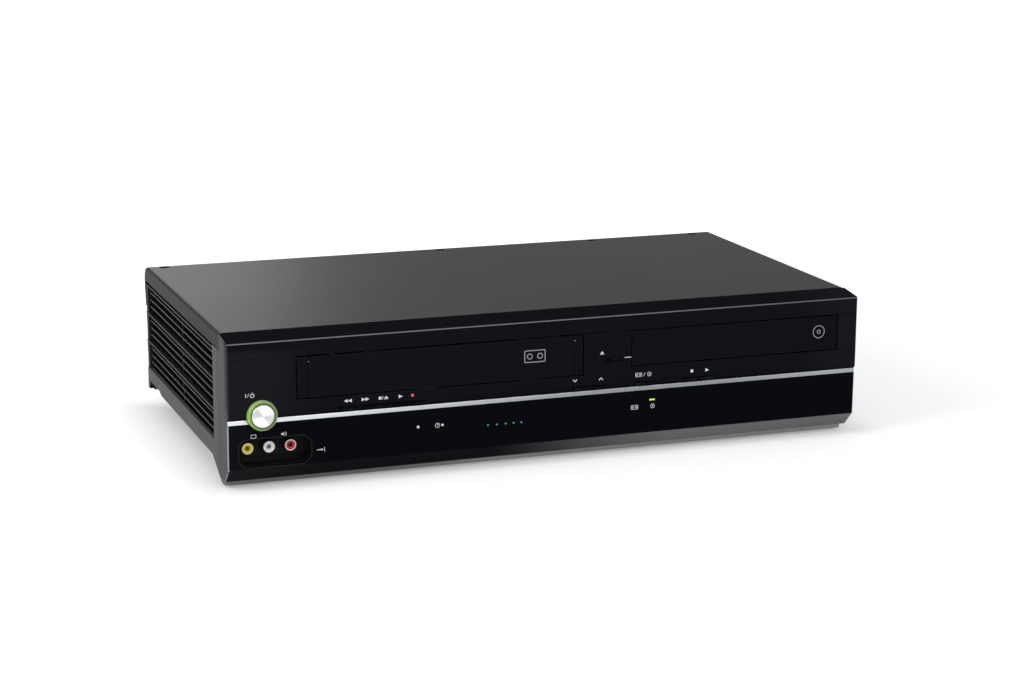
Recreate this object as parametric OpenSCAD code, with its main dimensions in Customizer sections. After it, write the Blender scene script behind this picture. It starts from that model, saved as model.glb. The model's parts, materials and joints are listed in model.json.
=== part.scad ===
// Disc player and tape recorder in one cabinet.
// Built from the table up (Z = 0) with the front towards -Y; lengths in millimetres.

/* [Cabinet] */
// Width of the cabinet
body_w = 435; // [428:1:460]
// Height from the table to the top of the cover
body_h = 99.5; // [98:0.5:116]
// Depth from the front face to the rear edge of the cover
body_d = 247; // [245:1:300]
// Thickness of the moulded walls
wall = 2.5; // [2:0.1:3]
// Thickness of the louvred side walls
side_wall = 3.4; // [3:0.1:4]
// Clear space under the cabinet floor
foot_h = 7; // [6.5:0.1:9]
// Radius of a foot
foot_r = 9; // [6:0.5:12]
// Distance of the feet from the side of the cabinet
foot_inset = 30; // [24:1:50]

/* [Top cover] */
// Thickness of the cover sheet
cover_t = 1; // [0.8:0.1:1.5]
// Depth of the folded sides of the cover
cover_skirt = 10.8; // [9:0.1:12]
// Outside radius of the cover's side folds
cover_fold_r = 2.4; // [1.2:0.1:2.6]
// Outside radius of the cover's rolled rear edge
cover_roll_r = 10; // [7:0.5:10.5]
// Depth of the flat rear flange under that roll
cover_flange = 7; // [6.5:0.5:9]

/* [Louvres] */
// Height of the lowest edge of the louvre field
louvre_z = 26.7; // [22:0.1:30]
// Distance from one louvre to the next
louvre_pitch = 5.02; // [4.6:0.01:5.05]
// Number of louvre slots
louvre_slots = 12; // [4:1:12]
// Height of one louvre rib
louvre_rib = 1; // [0.9:0.1:1.6]
// Distance of the louvre field from the front face
louvre_y = 39; // [36:0.5:60]
// How far the plain ribs lie behind the side face
louvre_recess = 1.9; // [1:0.1:2.2]

/* [Front bezel] */
// Length of the bezel along the side of the cabinet
bezel_side = 28; // [26:0.5:34]
// Length of the bezel's band along the top
bezel_top = 20.4; // [18:0.2:24]
// Fall of the top band from the cover to the front edge
top_fall = 3; // [2:0.1:4]
// How far the lower front lies behind the upper front
lower_step = 2.3; // [1.6:0.1:3]
// Height of the lower edge of the display window
window_z = 15.7; // [14:0.1:18]
// Distance of the silver bar's lower edge below the top of the cover
bar_drop = 55.1; // [54.5:0.1:57.5]
// Height of the silver bar
bar_h = 2.9; // [2:0.1:3.2]
// Thickness of the silver bar and of the display window
inlay_t = 2; // [1.5:0.1:2.5]
// Bevel of the front's upright corners
corner_bevel = 1.3; // [0.8:0.1:2]
// Height of the groove that crosses the upper front
groove_drop = 13.3; // [12.5:0.1:13.5]
// Width of that groove
groove_w = 0.6; // [0.4:0.1:0.8]

/* [Tape door] */
// Width of the tape door
door_w = 191.4; // [190:0.2:193]
// Height of the tape door
door_h = 26.5; // [26:0.1:28]
// Thickness of the tape door
door_t = 1.8; // [1.6:0.1:2.2]
// Share of the spare width that lies left of the tape door
left_share = 0.362; // [0.28:0.001:0.4]
// Share of the spare width that lies between the door and the tray's panel
middle_share = 0.416; // [0.36:0.001:0.44]
// Distance of the door's top edge below the cover
door_drop = 14.2; // [14.2:0.1:15]

/* [Disc tray] */
// Width of the tray's front panel
panel_w = 149.6; // [146:0.2:151]
// Height of the tray's front panel
panel_h = 23.1; // [20:0.1:23.5]
// Width of the tray
tray_w = 131; // [128:0.5:132]
// Length of the tray behind its front panel
tray_l = 165; // [160:1:170]
// Thickness of the tray
tray_t = 6; // [5:0.1:6.5]
// How far the tray opens
tray_travel = 128; // [110:1:130]
// Diameter of the disc's seat in the tray
disc_seat_d = 121; // [120.5:0.1:122]

/* [Keys] */
// Width of a key
key_w = 10.4; // [9:0.1:10.8]
// Height of a key
key_h = 3; // [2.6:0.1:3.4]
// Distance from one key to the next
key_pitch = 11.65; // [11.4:0.05:12.5]
// Height of the open and close key
open_key_h = 2; // [1.8:0.1:3]
// How far a key is pressed
key_travel = 0.8; // [0.4:0.1:1]

/* [Power button] */
// Radius of the power button's face
knob_r = 7.3; // [6:0.1:7.4]
// Outside radius of the lit ring
ring_r = 9.5; // [9.2:0.1:9.8]
// How far the power button stands out of the front
knob_proud = 4; // [3:0.1:5]
// Place of the power button across the spare width left of the door
knob_share = 0.405; // [0.38:0.001:0.5]
// How far the power button is pressed
knob_travel = 1.2; // [0.6:0.1:1.5]

/* [Line sockets] */
// Outside radius of a phono socket's shell
phono_r = 4.15; // [4.1:0.01:4.2]
// Length of a phono socket's shell in front of its block
phono_l = 7.8; // [7:0.1:8.5]
// Distance from one front socket to the next
phono_pitch = 13.8; // [13:0.1:14]
// Width of the recess around the front sockets
recess_w = 46.6; // [44:0.1:47]
// Height of that recess as a share of the display window's height
recess_share = 0.638; // [0.61:0.001:0.65]
// Corner radius of that recess as a share of its height
recess_round = 0.382; // [0.27:0.001:0.4]

/* [Tape deck] */
// Inside width of the cassette holder
cassette_w = 189; // [188.5:0.1:190]
// Inside height of the cassette holder
cassette_h = 25.6; // [25.4:0.1:26]
// Length of the cassette holder
holder_l = 60; // [50:1:60]
// How far the holder moves in
holder_in = 38; // [30:1:38]
// How far the holder moves down
holder_down = 20; // [16:0.5:20]
// Height of the deck plate
deck_z = 30; // [29:0.5:31]
// Thickness of the deck plate and of its brackets
sheet_t = 1.5; // [1.2:0.1:1.8]
// Diameter of the head drum
drum_d = 62; // [60:0.5:62]
// Lean of the head drum, in degrees
drum_lean = 5; // [3:0.5:6]
// Distance between the two reels
reel_span = 92; // [88:1:94]

/* [Disc loader] */
// Diameter of the turntable
turntable_d = 28; // [24:0.5:30]
// Diameter of the clamp puck
puck_d = 30; // [28:0.5:34]
// Travel of the pickup sled
sled_travel = 34; // [30:1:36]
// Module of the loader's gears
gear_m = 1; // [0.9:0.05:1]
// Teeth of the small tray gear and of the motor pinion
small_teeth = 16; // [16:2:18]
// Teeth of the large tray gear
large_teeth = 36; // [32:2:36]

/* [Fits] */
// Clearance between pieces that move past each other
gap = 0.3; // [0.25:0.05:0.4]
// Running clearance on the radius of shafts and pins
fit = 0.05; // [0.03:0.01:0.08]

/* [Hidden] */
$fn = 48;
EPS = 0.01;

// Overall places. Pieces are drawn with Y = 0 on the front face, then moved to the middle of the depth.
rear_reach = 5;
face_y = (knob_proud - body_d - rear_reach) / 2;
half_w = body_w / 2;
floor_z = foot_h;
floor_top = floor_z + wall;
inner_w = body_w - 2 * side_wall;
skirt_z = body_h - cover_skirt;
wall_back = body_d - 4;
rear_y = body_d - 6;
roll_z = body_h - cover_roll_r;
flange_z = roll_z - cover_flange;
screw_z = flange_z + 3.8;
cover_w = body_w - 0.4;
wall_top = skirt_z - gap;
skirt_shadow = 1.4; // height of the shadow gap between the louvres and the cover's skirt
rear_strip_recess = 0.4; // how far the plain strip behind the louvres lies behind the side face
side_z = 15.5;
front_top = body_h - gap - top_fall;
bar_z = body_h - bar_drop;
bar_top = bar_z + bar_h;
lip_y = lower_step + 10.3;
lip_z = side_z - 10.1;
lip_r = 10;

// Tape door and its opening
ring_flange = 1.2;
knob_room = side_wall + 2 * (ring_r + ring_flange) + 2;
middle_room = key_w + 4;
right_room = side_wall + 1.1;
spare_w = body_w - door_w - panel_w - knob_room - middle_room - right_room;
door_left = knob_room + left_share * spare_w;
panel_right = right_room + (1 - left_share - middle_share) * spare_w;
door_x0 = -half_w + door_left;
door_x1 = door_x0 + door_w;
door_top = body_h - door_drop;
door_z = door_top - door_h;
tape_x = (door_x0 + door_x1) / 2;
door_gap = 0.6;
door_face = 0.3;
hinge_r = door_t / 2;
hinge_y = door_face + hinge_r;
hinge_z = door_top - hinge_r;
hinge_pin_r = 0.6;
hinge_pin_l = 2;

// Tray, its panel and what carries it
panel_x1 = half_w - panel_right;
panel_x0 = panel_x1 - panel_w;
panel_top = body_h - door_drop - 0.2;
panel_z = panel_top - panel_h;
disc_x = (panel_x0 + panel_x1) / 2;
tray_y0 = 3;
tray_z = panel_z + 5;
tray_top = tray_z + tray_t;
disc_y = tray_y0 + 2.5 + disc_seat_d / 2;
slot_half = 21;

// Keys
key_z = bar_top + key_h / 2 + gap;
key_face = 0.5;
key_depth = 6;
key_clear = 0.3;
board_y = 16;
board_t = 1.6;
board_top = key_z + key_h / 2 + 2;
switch_y = board_y - 2.2;
stem_r = 1.2;
transport_x = door_x0 + 32.9;
tracking_x = door_x1 + 3.7;
source_x = panel_x0 + 8.1;
disc_key_x = panel_x0 + 42.7;
open_key_x = (door_x1 + panel_x0) / 2 + 0.209 * middle_share * spare_w;
open_key_z = panel_z + 5.1;
knob_x = -half_w + side_wall + ring_r + ring_flange + gap + knob_share * (door_left - knob_room);
knob_z = bar_top + 3;
ring_back = lower_step + inlay_t + wall + 1.2;

// Front sockets
recess_x = -half_w + 30.3;
recess_h = recess_share * (bar_z - window_z);
recess_r = recess_round * recess_h;
recess_z = window_z + recess_h / 2 + 0.5;
phono_aside = 3.3;
phono_x0 = recess_x - phono_pitch - phono_aside;
phono_z = recess_z + 0.57 * (recess_h / 2 - phono_r);
phono_y = 12.4;
phono_tail_r = phono_r - 0.65;
phono_tail = 2.4;
phono_ledge = phono_z - phono_r - 2.9;
socket_back = board_y - gap;

// Tape deck
deck_top = deck_z + sheet_t;
holder_y = 30;
holder_z = door_z - 0.4;
rail_x = cassette_w / 2 + 4;
runner_x = rail_x - gap - sheet_t;
holder_x = runner_x - gap;
slot_z = holder_z + 12.6;
guide_pin_r = 2;
lift_pin_r = 1.5;
lift_z = holder_z + 8;
drum_y = holder_y + holder_l + holder_in + 7 + drum_d / 2;
reel_y = holder_y + holder_in + 28;
reel_r = 18;
hub_r = 5;
capstan_x = tape_x + 66;
capstan_y = drum_y - 24;
capstan_r = 1.5;
flywheel_r = 20;
roller_r = 6;
pinch_x = capstan_x + 14;
pinch_y = capstan_y + 22;
roller_x = capstan_x + 11;
roller_y = capstan_y + 2;
guide_start = 10;
guide_travel = 30;
guide_lean = 4;
deck_back = drum_y + drum_d / 2 + 8;

// Disc loader
loader_w = tray_w + 14;
loader_y0 = 8;
loader_y1 = tray_y0 + tray_l + 12;
loader_z = panel_z - 8;
ledge_z = tray_z - gap;
bridge_z = tray_top + 5.5;
traverse_w = 80;
traverse_z = tray_z - 12;
traverse_t = 3;
spindle_r = 12;
traverse_y0 = disc_y - turntable_d / 2 - 5;
pivot_y = loader_y1 - 14;
pivot_r = 2;
rod_x = 26;
rod_r = 1.5;
rod_z = traverse_z + 5;
sled_y0 = disc_y + turntable_d / 2 + 4;
sled_l = 26;
rack_x = disc_x - tray_w / 2 + 11.5;
small_r = gear_m * small_teeth / 2;
large_r = gear_m * large_teeth / 2;
gear_x = rack_x + small_r;
gear_y = loader_y0 + large_r + 2;
pinion_x = gear_x + large_r + small_r;
rack_z = tray_z - 5;
large_z = rack_z - 5;

// Display, boards and the rear
display_x = tape_x + 42;
display_z = (bar_z + window_z) / 2 + 0.35;
display_half = 0.244 * (bar_z - window_z);
board_z = floor_top + 4;
deck_post_x = rail_x - 6;
board_x0 = tape_x + deck_post_x + 5;
power_x0 = -half_w + 12;
power_x1 = tape_x - 42;
board_w = half_w - 16 - board_x0;
board_y0 = 110;
hook_y = body_d - 15;
pin_r = 1.65;
rear_phono_x = half_w - 60;
rear_phono_z = 36;
rear_pitch_x = 15;
rear_columns = 4;
rear_rows = 3;
rear_pitch_z = (flange_z - 12.5 - rear_phono_z) / (rear_rows - 1);
rear_block_y = rear_y - 12;
rear_end = body_d + rear_reach;
socket_clear = 1.1;
antenna_r = 4.7;
antenna_x = half_w - 178;
antenna_z = 34;
antenna_pitch = 19;
inlet_x = -half_w + 50;
inlet_z = 34;
inlet_half = 13;
inlet_depth = 17;

// ---------- helpers ----------

module placed() {
    translate([0, face_y, 0]) children();
}

module block(low, high) {
    translate(low) cube(high - low);
}

// A shape drawn in depth and height, drawn out along the width from x0 to x1
module side_profile(x0, x1) {
    translate([x0, 0, 0]) rotate([90, 0, 90]) linear_extrude(x1 - x0) children();
}

// A shape drawn in width and height, drawn out backwards from y0 to y1
module front_profile(y0, y1) {
    translate([0, y1, 0]) rotate([90, 0, 0]) linear_extrude(y1 - y0) children();
}

module rounded_square(w, h, r) {
    union() {
        translate([-w / 2, -h / 2 + r]) square([w, h - 2 * r]);
        translate([-w / 2 + r, -h / 2]) square([w - 2 * r, h]);
        for (sx = [-1, 1], sy = [-1, 1])
            translate([sx * (w / 2 - r), sy * (h / 2 - r)]) circle(r);
    }
}

// An upright rod on z0, and one that points forward from y1 to y0
module post(x, y, z0, z1, r) {
    translate([x, y, z0]) cylinder(h = z1 - z0, r = r);
}

module stud(x, z, y0, y1, r) {
    translate([x, y1, z]) rotate([90, 0, 0]) cylinder(h = y1 - y0, r = r);
}

module axle(x0, x1, y, z, r) {
    translate([x0, y, z]) rotate([0, 90, 0]) cylinder(h = x1 - x0, r = r);
}

// Points of an involute tooth flank, from the root to the tip
function involute(base, t) = base * sqrt(1 + t * t);
function involute_angle(t) = t * 180 / PI - atan(t);
function flank(m, n, play) =
    let (pitch = m * n / 2, base = pitch * cos(20), tip = pitch + 0.85 * m, root = pitch - 1.2 * m,
         t_pitch = sqrt(pow(pitch / base, 2) - 1), t_tip = sqrt(pow(tip / base, 2) - 1),
         half = 90 / n - play / pitch * 90 / PI + involute_angle(t_pitch))
    [for (k = [-1:3])
        k < 0 ? [min(root, base - 0.05), half]
              : [involute(base, t_tip * k / 3), half - involute_angle(t_tip * k / 3)]];

module gear(m, n, thick, bore, play = 0.25) {
    side = flank(m, n, play);
    points = [for (i = [0:n - 1], s = [-1, 1], k = [0:4])
        let (p = s < 0 ? side[k] : side[4 - k], a = i * 360 / n + s * p[1])
        [p[0] * cos(a), p[0] * sin(a)]];
    difference() {
        linear_extrude(thick) polygon(points);
        translate([0, 0, -1]) cylinder(h = thick + 2, r = bore);
    }
}

// A straight rack along Y whose teeth point to +X from the pitch line at x = 0
module rack(m, first, count, thick, play = 0.25) {
    tip = 0.85 * m;
    root = 1.2 * m;
    quarter = PI * m / 4 - play / 4;
    slope = tan(20);
    linear_extrude(thick)
        for (i = [0:count - 1])
            translate([0, first + i * PI * m])
                polygon([[-root, -quarter - root * slope], [tip, -quarter + tip * slope],
                         [tip, quarter - tip * slope], [-root, quarter + root * slope]]);
}

// ---------- casing ----------

module side_wall_shape() {
    polygon([[bezel_side + gap, wall_top], [wall_back, wall_top], [wall_back, side_z - 3.3],
             [wall_back - 0.5, side_z - 3.8], [wall_back - 5, side_z - 3.8], [wall_back - 6, side_z + 2],
             [wall_back - 40, side_z + 2], [wall_back - 43, side_z], [bezel_side + 16.4, side_z],
             [bezel_side + 2.8, side_z - 7], [bezel_side + gap, side_z - 8.2]]);
}

module louvred_wall() {
    // the louvres keep clear of the shadow gap under the cover's skirt
    pitch = min(louvre_pitch, (wall_top - skirt_shadow - louvre_z) / louvre_slots);
    field_top = louvre_z + louvre_slots * pitch;
    rib_back = wall_back - 5.5;
    difference() {
        side_profile(half_w - side_wall, half_w) side_wall_shape();
        block([half_w - side_wall - 1, louvre_y, louvre_z], [half_w + 1, rib_back, field_top]);
        block([half_w - rear_strip_recess, rib_back - EPS, louvre_z], [half_w + 1, wall_back + 1, field_top]);
        block([half_w - louvre_recess, louvre_y, field_top - EPS], [half_w + 1, wall_back + 1, wall_top + 1]);
    }
    for (i = [1:louvre_slots]) {
        // every fourth rib reaches the side face and the rear edge
        flush = i % 4 == 0;
        z = louvre_z + i * pitch;
        block([half_w - side_wall, louvre_y - EPS, z - louvre_rib],
              [half_w - (flush ? 0 : louvre_recess), flush ? wall_back : rib_back + EPS, z]);
    }
    block([half_w - side_wall, wall_back - EPS, skirt_z - 18],
          [half_w - louvre_recess, body_d - cover_t - gap, wall_top]);
    for (y = [louvre_y, (louvre_y + rib_back) / 2, rib_back - 3])
        block([half_w - side_wall - 1.6, y, louvre_z - 1], [half_w - side_wall + EPS, y + 3, wall_top]);
}

module side_half() {
    louvred_wall();
    block([half_w - side_wall, bezel_side + 16.4, side_z],
          [half_w - side_wall + EPS, wall_back - 6, side_z + wall]);
    block([half_w - 10, bezel_side + 18, floor_z], [half_w - 10 + wall, rear_y - gap, side_z + wall]);
    block([half_w - 10, bezel_side + 18, side_z], [half_w - side_wall + EPS, rear_y - gap, side_z + wall]);
    block([half_w - side_wall, louvre_y - 5, wall_top - 2],
          [half_w - 2, body_d - cover_roll_r - 2, body_h - cover_t - 4]);
}

module main_chassis() {
    color("#4a4c4f") placed() {
        difference() {
            union() {
                block([-half_w + 10, bezel_side + gap, floor_z], [half_w - 10, rear_y - gap, floor_top]);
                side_half();
                mirror([1, 0, 0]) side_half();
                for (p = deck_posts())
                    post(p[0], p[1], floor_top - EPS, deck_z, 4);
                for (p = loader_posts())
                    post(p[0], p[1], floor_top - EPS, loader_z, 4);
                for (p = board_posts())
                    post(p[0], p[1], floor_top - EPS, board_z, 3);
                for (p = power_posts())
                    post(p[0], p[1], floor_top - EPS, board_z, 3);
            }
            for (p = foot_places())
                post(p[0], p[1], floor_z - 1, floor_top - 1, 3 + fit);
        }
    }
}

// Cross-section of a folded cover: a square with its two upper corners rounded
module fold_shape(w, h, r) {
    union() {
        translate([-w / 2, 0]) square([w, h - r]);
        translate([-w / 2 + r, 0]) square([w - 2 * r, h]);
        for (s = [-1, 1])
            translate([s * (w / 2 - r), h - r]) circle(r);
    }
}

// Depth and height of the cover, down to z, with its rolled rear edge; inset by t
module roll_shape(t, z) {
    union() {
        translate([0, z]) square([body_d - cover_roll_r, body_h - t - z]);
        translate([0, z]) square([body_d - t, roll_z - z]);
        translate([body_d - cover_roll_r, roll_z]) circle(cover_roll_r - t);
    }
}

// Middles of the hook slots along the rear edge of the cover
function hook_places() = [-half_w + 12, -1.6, half_w - 99, half_w - 17];

module top_cover() {
    inner_cover_w = cover_w - 2 * cover_t;
    color("#5a5c5f") placed() {
        difference() {
            intersection() {
                front_profile(bezel_top + gap, body_d + 1)
                    translate([0, flange_z]) fold_shape(cover_w, body_h - flange_z, cover_fold_r);
                side_profile(-half_w, half_w) roll_shape(0, flange_z);
            }
            // the space under the sheet
            intersection() {
                front_profile(0, body_d + 1) translate([0, flange_z - 1])
                    fold_shape(inner_cover_w, body_h - cover_t - flange_z + 1, cover_fold_r - cover_t + 0.1);
                side_profile(-half_w, half_w) roll_shape(cover_t, flange_z - 1);
            }
            // the sides end at the skirt, in front of the rear flange
            block([-half_w, 0, flange_z - 1], [half_w, wall_back + gap, skirt_z]);
            for (x = hook_places())
                block([x - 3, hook_y, body_h - 2 * cover_t], [x + 3, hook_y + 4.6, body_h + 1]);
            for (x = screw_places())
                stud(x, screw_z, body_d - 3, body_d + 1, 1.7);
        }
        for (s = [-1, 1])
            side_profile(s * (cover_w / 2 - cover_t / 2) - cover_t / 2,
                         s * (cover_w / 2 - cover_t / 2) + cover_t / 2)
                polygon([[wall_back + gap, skirt_z],
                         [wall_back + gap + 0.5, skirt_z - 17], [wall_back + 1.6, skirt_z - 18],
                         [body_d - 1, flange_z - 2], [body_d, flange_z + 1], [body_d, skirt_z]]);
    }
}

function screw_places() = [-half_w + 28, -20, half_w - 28];

module cover_screws() {
    color("#2b2b2d") placed() for (x = screw_places()) {
        difference() {
            stud(x, screw_z, body_d, body_d + 1.8, 3);
            block([x - 2, body_d + 1, screw_z - 0.4], [x + 2, body_d + 2, screw_z + 0.4]);
            block([x - 0.4, body_d + 1, screw_z - 2], [x + 0.4, body_d + 2, screw_z + 2]);
        }
        stud(x, screw_z, rear_y - 6, body_d + EPS, 1.4);
    }
}

module rear_panel() {
    color("#232426") placed() {
        difference() {
            union() {
                block([-inner_w / 2 + gap, rear_y, floor_top + gap],
                      [inner_w / 2 - gap, rear_y + cover_t, body_h - 5.5]);
                for (x = screw_places())
                    stud(x, screw_z, rear_y, body_d - cover_t - gap, 3.6);
                block([-inner_w / 2 + 12, rear_y - 10, floor_top + gap],
                      [inner_w / 2 - 12, rear_y + EPS, floor_top + gap + cover_t]);
            }
            for (c = [0:rear_columns - 1], r = [0:rear_rows - 1])
                stud(rear_phono_x - c * rear_pitch_x, rear_phono_z + r * rear_pitch_z,
                     rear_y - 1, rear_y + 2, phono_r + socket_clear);
            for (s = [0, 1])
                stud(antenna_x, antenna_z + s * antenna_pitch, rear_y - 1, rear_y + 2,
                     antenna_r + socket_clear);
            block([inlet_x - 11.3, rear_y - 1, inlet_z - 7.3], [inlet_x + 11.3, rear_y + 2, inlet_z + 7.3]);
            for (x = screw_places())
                stud(x, screw_z, rear_y - 1, body_d, 1.4 - EPS);
            for (x = [-60:6:12])
                block([x, rear_y - 1, 58], [x + 2.5, rear_y + 2, 78]);
        }
        for (x = hook_places()) {
            block([x - 2, hook_y + 1, body_h - 8], [x + 2, rear_y + EPS, body_h - 5.5]);
            block([x - 2, hook_y + 1, body_h - 8], [x + 2, hook_y + 3.6, body_h - cover_t - gap]);
        }
    }
}

// Outline of the bezel in depth and height
function bezel_outline() = [
    [bezel_top, body_h - gap], [1, front_top + 0.5], [0.3, front_top + 0.2], [0, front_top - 0.5],
    [0, bar_top + 5.4], [0.15, bar_top + 4], [0.5, bar_top + 2.9], [1.1, bar_top + 1.8],
    [lower_step, bar_top + 0.6],
    [lower_step, window_z], [lip_y, lip_z], [lip_y + 0.4, lip_z - 1.3], [lip_y + 2, lip_z - 3],
    [lip_y + 5, lip_z - 3.4], [lip_y + 8.8, lip_z - 2], [bezel_side, side_z - 8.4],
    [bezel_side, wall_top], [bezel_top, wall_top]];

module recess_shape(grow) {
    translate([recess_x, recess_z]) rounded_square(recess_w + 2 * grow, recess_h + 2 * grow, recess_r + grow);
}

module key_hole(x, z, w, h) {
    block([x - w / 2 - key_clear, -1, z - h / 2 - key_clear],
          [x + w / 2 + key_clear, 8, z + h / 2 + key_clear]);
}

module front_bezel() {
    inner_x = half_w - side_wall;
    color("#141518") placed() {
        difference() {
            side_profile(-half_w, half_w) polygon(bezel_outline());
            // hollow behind the front, open to the rear
            side_profile(-inner_x, inner_x)
                polygon([[bezel_side + 1, body_h - gap - wall - 0.5], [bezel_top, body_h - gap - wall],
                         [wall, front_top - wall], [wall,
                                                    bar_top + 5], [lower_step + inlay_t + wall, bar_top + 1],
                         [lower_step + inlay_t + wall, window_z - 0.7],
                         [lower_step + 11.5, side_z - 6.6], [bezel_side + 1, side_z - 4.4]]);
            // bevels of the upright corners, and the rounded corners of the lower lip
            for (s = [-1, 1]) {
                translate([s * half_w, 0, 0]) rotate([0, 0, 45])
                    block([-corner_bevel * 0.71, -corner_bevel * 0.71, -1],
                          [corner_bevel * 0.71, corner_bevel * 0.71, body_h + 1]);
                translate([s * (half_w - lip_r), lip_y + lip_r,
                           0]) mirror([s > 0 ? 0 : 1, 0, 0]) difference() {
                    translate([0, -lip_r - 1, 0]) cube([lip_r + 1, lip_r + 1, lip_z]);
                    translate([0, 0, -1]) cylinder(h = side_z, r = lip_r);
                }
            }
            // tape door, tray panel and the groove above them
            block([door_x0 - door_gap, -1, door_z - door_gap],
                  [door_x1 + door_gap, bezel_side + 1, door_top + door_gap]);
            block([panel_x0 - door_gap, -1, panel_z - door_gap],
                  [panel_x1 + door_gap, bezel_side + 1, panel_top + door_gap]);
            block([-half_w - 1, -1, body_h - groove_drop - groove_w],
                  [half_w + 1, 0.5, body_h - groove_drop]);
            // hinge holes beside the tape door
            axle(door_x0 - hinge_pin_l - gap - door_gap, door_x1 + hinge_pin_l + gap + door_gap,
                 hinge_y, hinge_z, hinge_pin_r + fit);
            // seats of the silver bar and of the display window
            block([-half_w - 1, lower_step - 3, bar_z], [half_w + 1, lower_step + inlay_t, bar_top]);
            block([-half_w + 0.8, lower_step - 1, window_z],
                  [half_w - 0.8, lower_step + inlay_t, bar_z + EPS]);
            front_profile(-1, 12) recess_shape(0);
            block([display_x - 20, 0, display_z - display_half],
                  [display_x + 20, 12, display_z + display_half]);
            stud(source_x + 6.2, bar_z - 7.3, 0, 12, 2.4);
            // keys and the power button
            for (k = key_list())
                key_hole(k[0], k[1], key_w, k[2]);
            stud(knob_x, knob_z, -1, 12, ring_r + key_clear);
        }
    }
}

module display_window() {
    color("#05060a") placed() difference() {
        block([-half_w + 0.8 + key_clear, lower_step, window_z + key_clear / 2],
              [half_w - 0.8 - key_clear, lower_step + inlay_t, bar_z]);
        front_profile(-1, 12) recess_shape(0);
        stud(knob_x, knob_z, -1, 12, ring_r + key_clear);
    }
}

module trim_bar() {
    color("#c9ccd1") placed() difference() {
        block([-half_w + 0.3, lower_step - 0.5, bar_z], [half_w - 0.3, lower_step + inlay_t, bar_top]);
        stud(knob_x, knob_z, -1, 12, ring_r + key_clear);
    }
}

function foot_places() = [for (sx = [-1, 1],
                               y = [bezel_side + 14, body_d - 30]) [sx * (half_w - foot_inset), y]];

module feet() {
    color("#1b1b1c") placed() for (p = foot_places()) {
        post(p[0], p[1], 0.8, floor_z, foot_r);
        post(p[0], p[1], 0, 0.8 + EPS, foot_r - 0.8);
        post(p[0], p[1], floor_z - EPS, floor_top - 1.2, 3);
    }
}

// ---------- keys ----------

// Each key: middle in width, middle in height, height of the cap
function transport_key(i) = [transport_x + i * key_pitch, key_z, key_h];
function tracking_key(i) = [tracking_x + (i - 0.5) * key_pitch, key_z, key_h];
function disc_key(i) = [disc_key_x + i * key_pitch, key_z, key_h];
source_place = [source_x, key_z, key_h];
open_place = [open_key_x, open_key_z, open_key_h];
function key_list() = concat([for (i = [0:4]) transport_key(i)], [for (i = [0, 1]) tracking_key(i)],
                             [for (i = [0, 1]) disc_key(i)], [source_place, open_place]);

module key_cap(k, tint = "#1a1b1e") {
    stem_end = switch_y - key_travel - gap;
    color(tint) placed() {
        side_profile(k[0] - key_w / 2, k[0] + key_w / 2)
            polygon([[key_face + 0.5, k[1] - k[2] / 2], [key_face, k[1] - k[2] / 2 + 0.6],
                     [key_face, k[1] + k[2] / 2 - 0.6], [key_face + 0.5, k[1] + k[2] / 2],
                     [key_depth, k[1] + k[2] / 2], [key_depth, k[1] - k[2] / 2]]);
        stud(k[0], k[1], key_depth - EPS, stem_end, stem_r);
    }
}

module rewind_key() { key_cap(transport_key(0)); }
module fast_forward_key() { key_cap(transport_key(1)); }
module stop_eject_key() { key_cap(transport_key(2)); }
module play_key() { key_cap(transport_key(3)); }
module record_key() { key_cap(transport_key(4)); }
module tracking_down_key() { key_cap(tracking_key(0)); }
module tracking_up_key() { key_cap(tracking_key(1)); }
module source_key() { key_cap(source_place); }
module disc_stop_key() { key_cap(disc_key(0)); }
module disc_play_key() { key_cap(disc_key(1)); }
module open_close_key() { key_cap(open_place); }

module power_button() {
    color("#d8dadd") placed() {
        stud(knob_x, knob_z, -knob_proud + 0.5, key_depth, knob_r);
        stud(knob_x, knob_z, -knob_proud, -knob_proud + 0.5 + EPS, knob_r - 0.5);
        stud(knob_x, knob_z, key_depth - EPS, switch_y - knob_travel - gap, 2);
    }
}

module power_ring() {
    color("#86b82e") placed() difference() {
        union() {
            stud(knob_x, knob_z, -knob_proud + 1.2, ring_back, ring_r);
            stud(knob_x, knob_z, -knob_proud + 0.4, -knob_proud + 1.2 + EPS, ring_r - 0.8);
            stud(knob_x, knob_z, ring_back - 1, ring_back, ring_r + ring_flange);
        }
        stud(knob_x, knob_z, -knob_proud - 1, ring_back + 1, knob_r + gap);
    }
}

// ---------- front sockets and boards ----------

module socket_block() {
    color("#17181a") placed() difference() {
        front_profile(lower_step + inlay_t + wall + gap, socket_back)
            translate([recess_x, recess_z]) rounded_square(recess_w + 3, recess_h + 0.6, recess_r + 0.3);
        front_profile(0, phono_y) recess_shape(0);
        intersection() {
            front_profile(0, phono_y + 2.2) recess_shape(0);
            block([-half_w, 0, 0], [0, board_y, phono_ledge]);
        }
        for (i = [0:2])
            stud(phono_x0 + i * phono_pitch, phono_z, phono_y - 1, phono_y + phono_tail, phono_tail_r + fit);
    }
}

module phono_socket(x, y, z, tint) {
    color(tint) placed() difference() {
        union() {
            stud(x, z, y - phono_l, y, phono_r);
            stud(x, z, y - EPS, y + phono_tail, phono_tail_r);
        }
        stud(x, z, y - phono_l - 1, y + 1, pin_r);
    }
}

module video_socket() { phono_socket(phono_x0, phono_y, phono_z, "#e3c41f"); }
module left_audio_socket() { phono_socket(phono_x0 + phono_pitch, phono_y, phono_z, "#e9e9e6"); }
module right_audio_socket() { phono_socket(phono_x0 + 2 * phono_pitch, phono_y, phono_z, "#b3232b"); }

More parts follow.
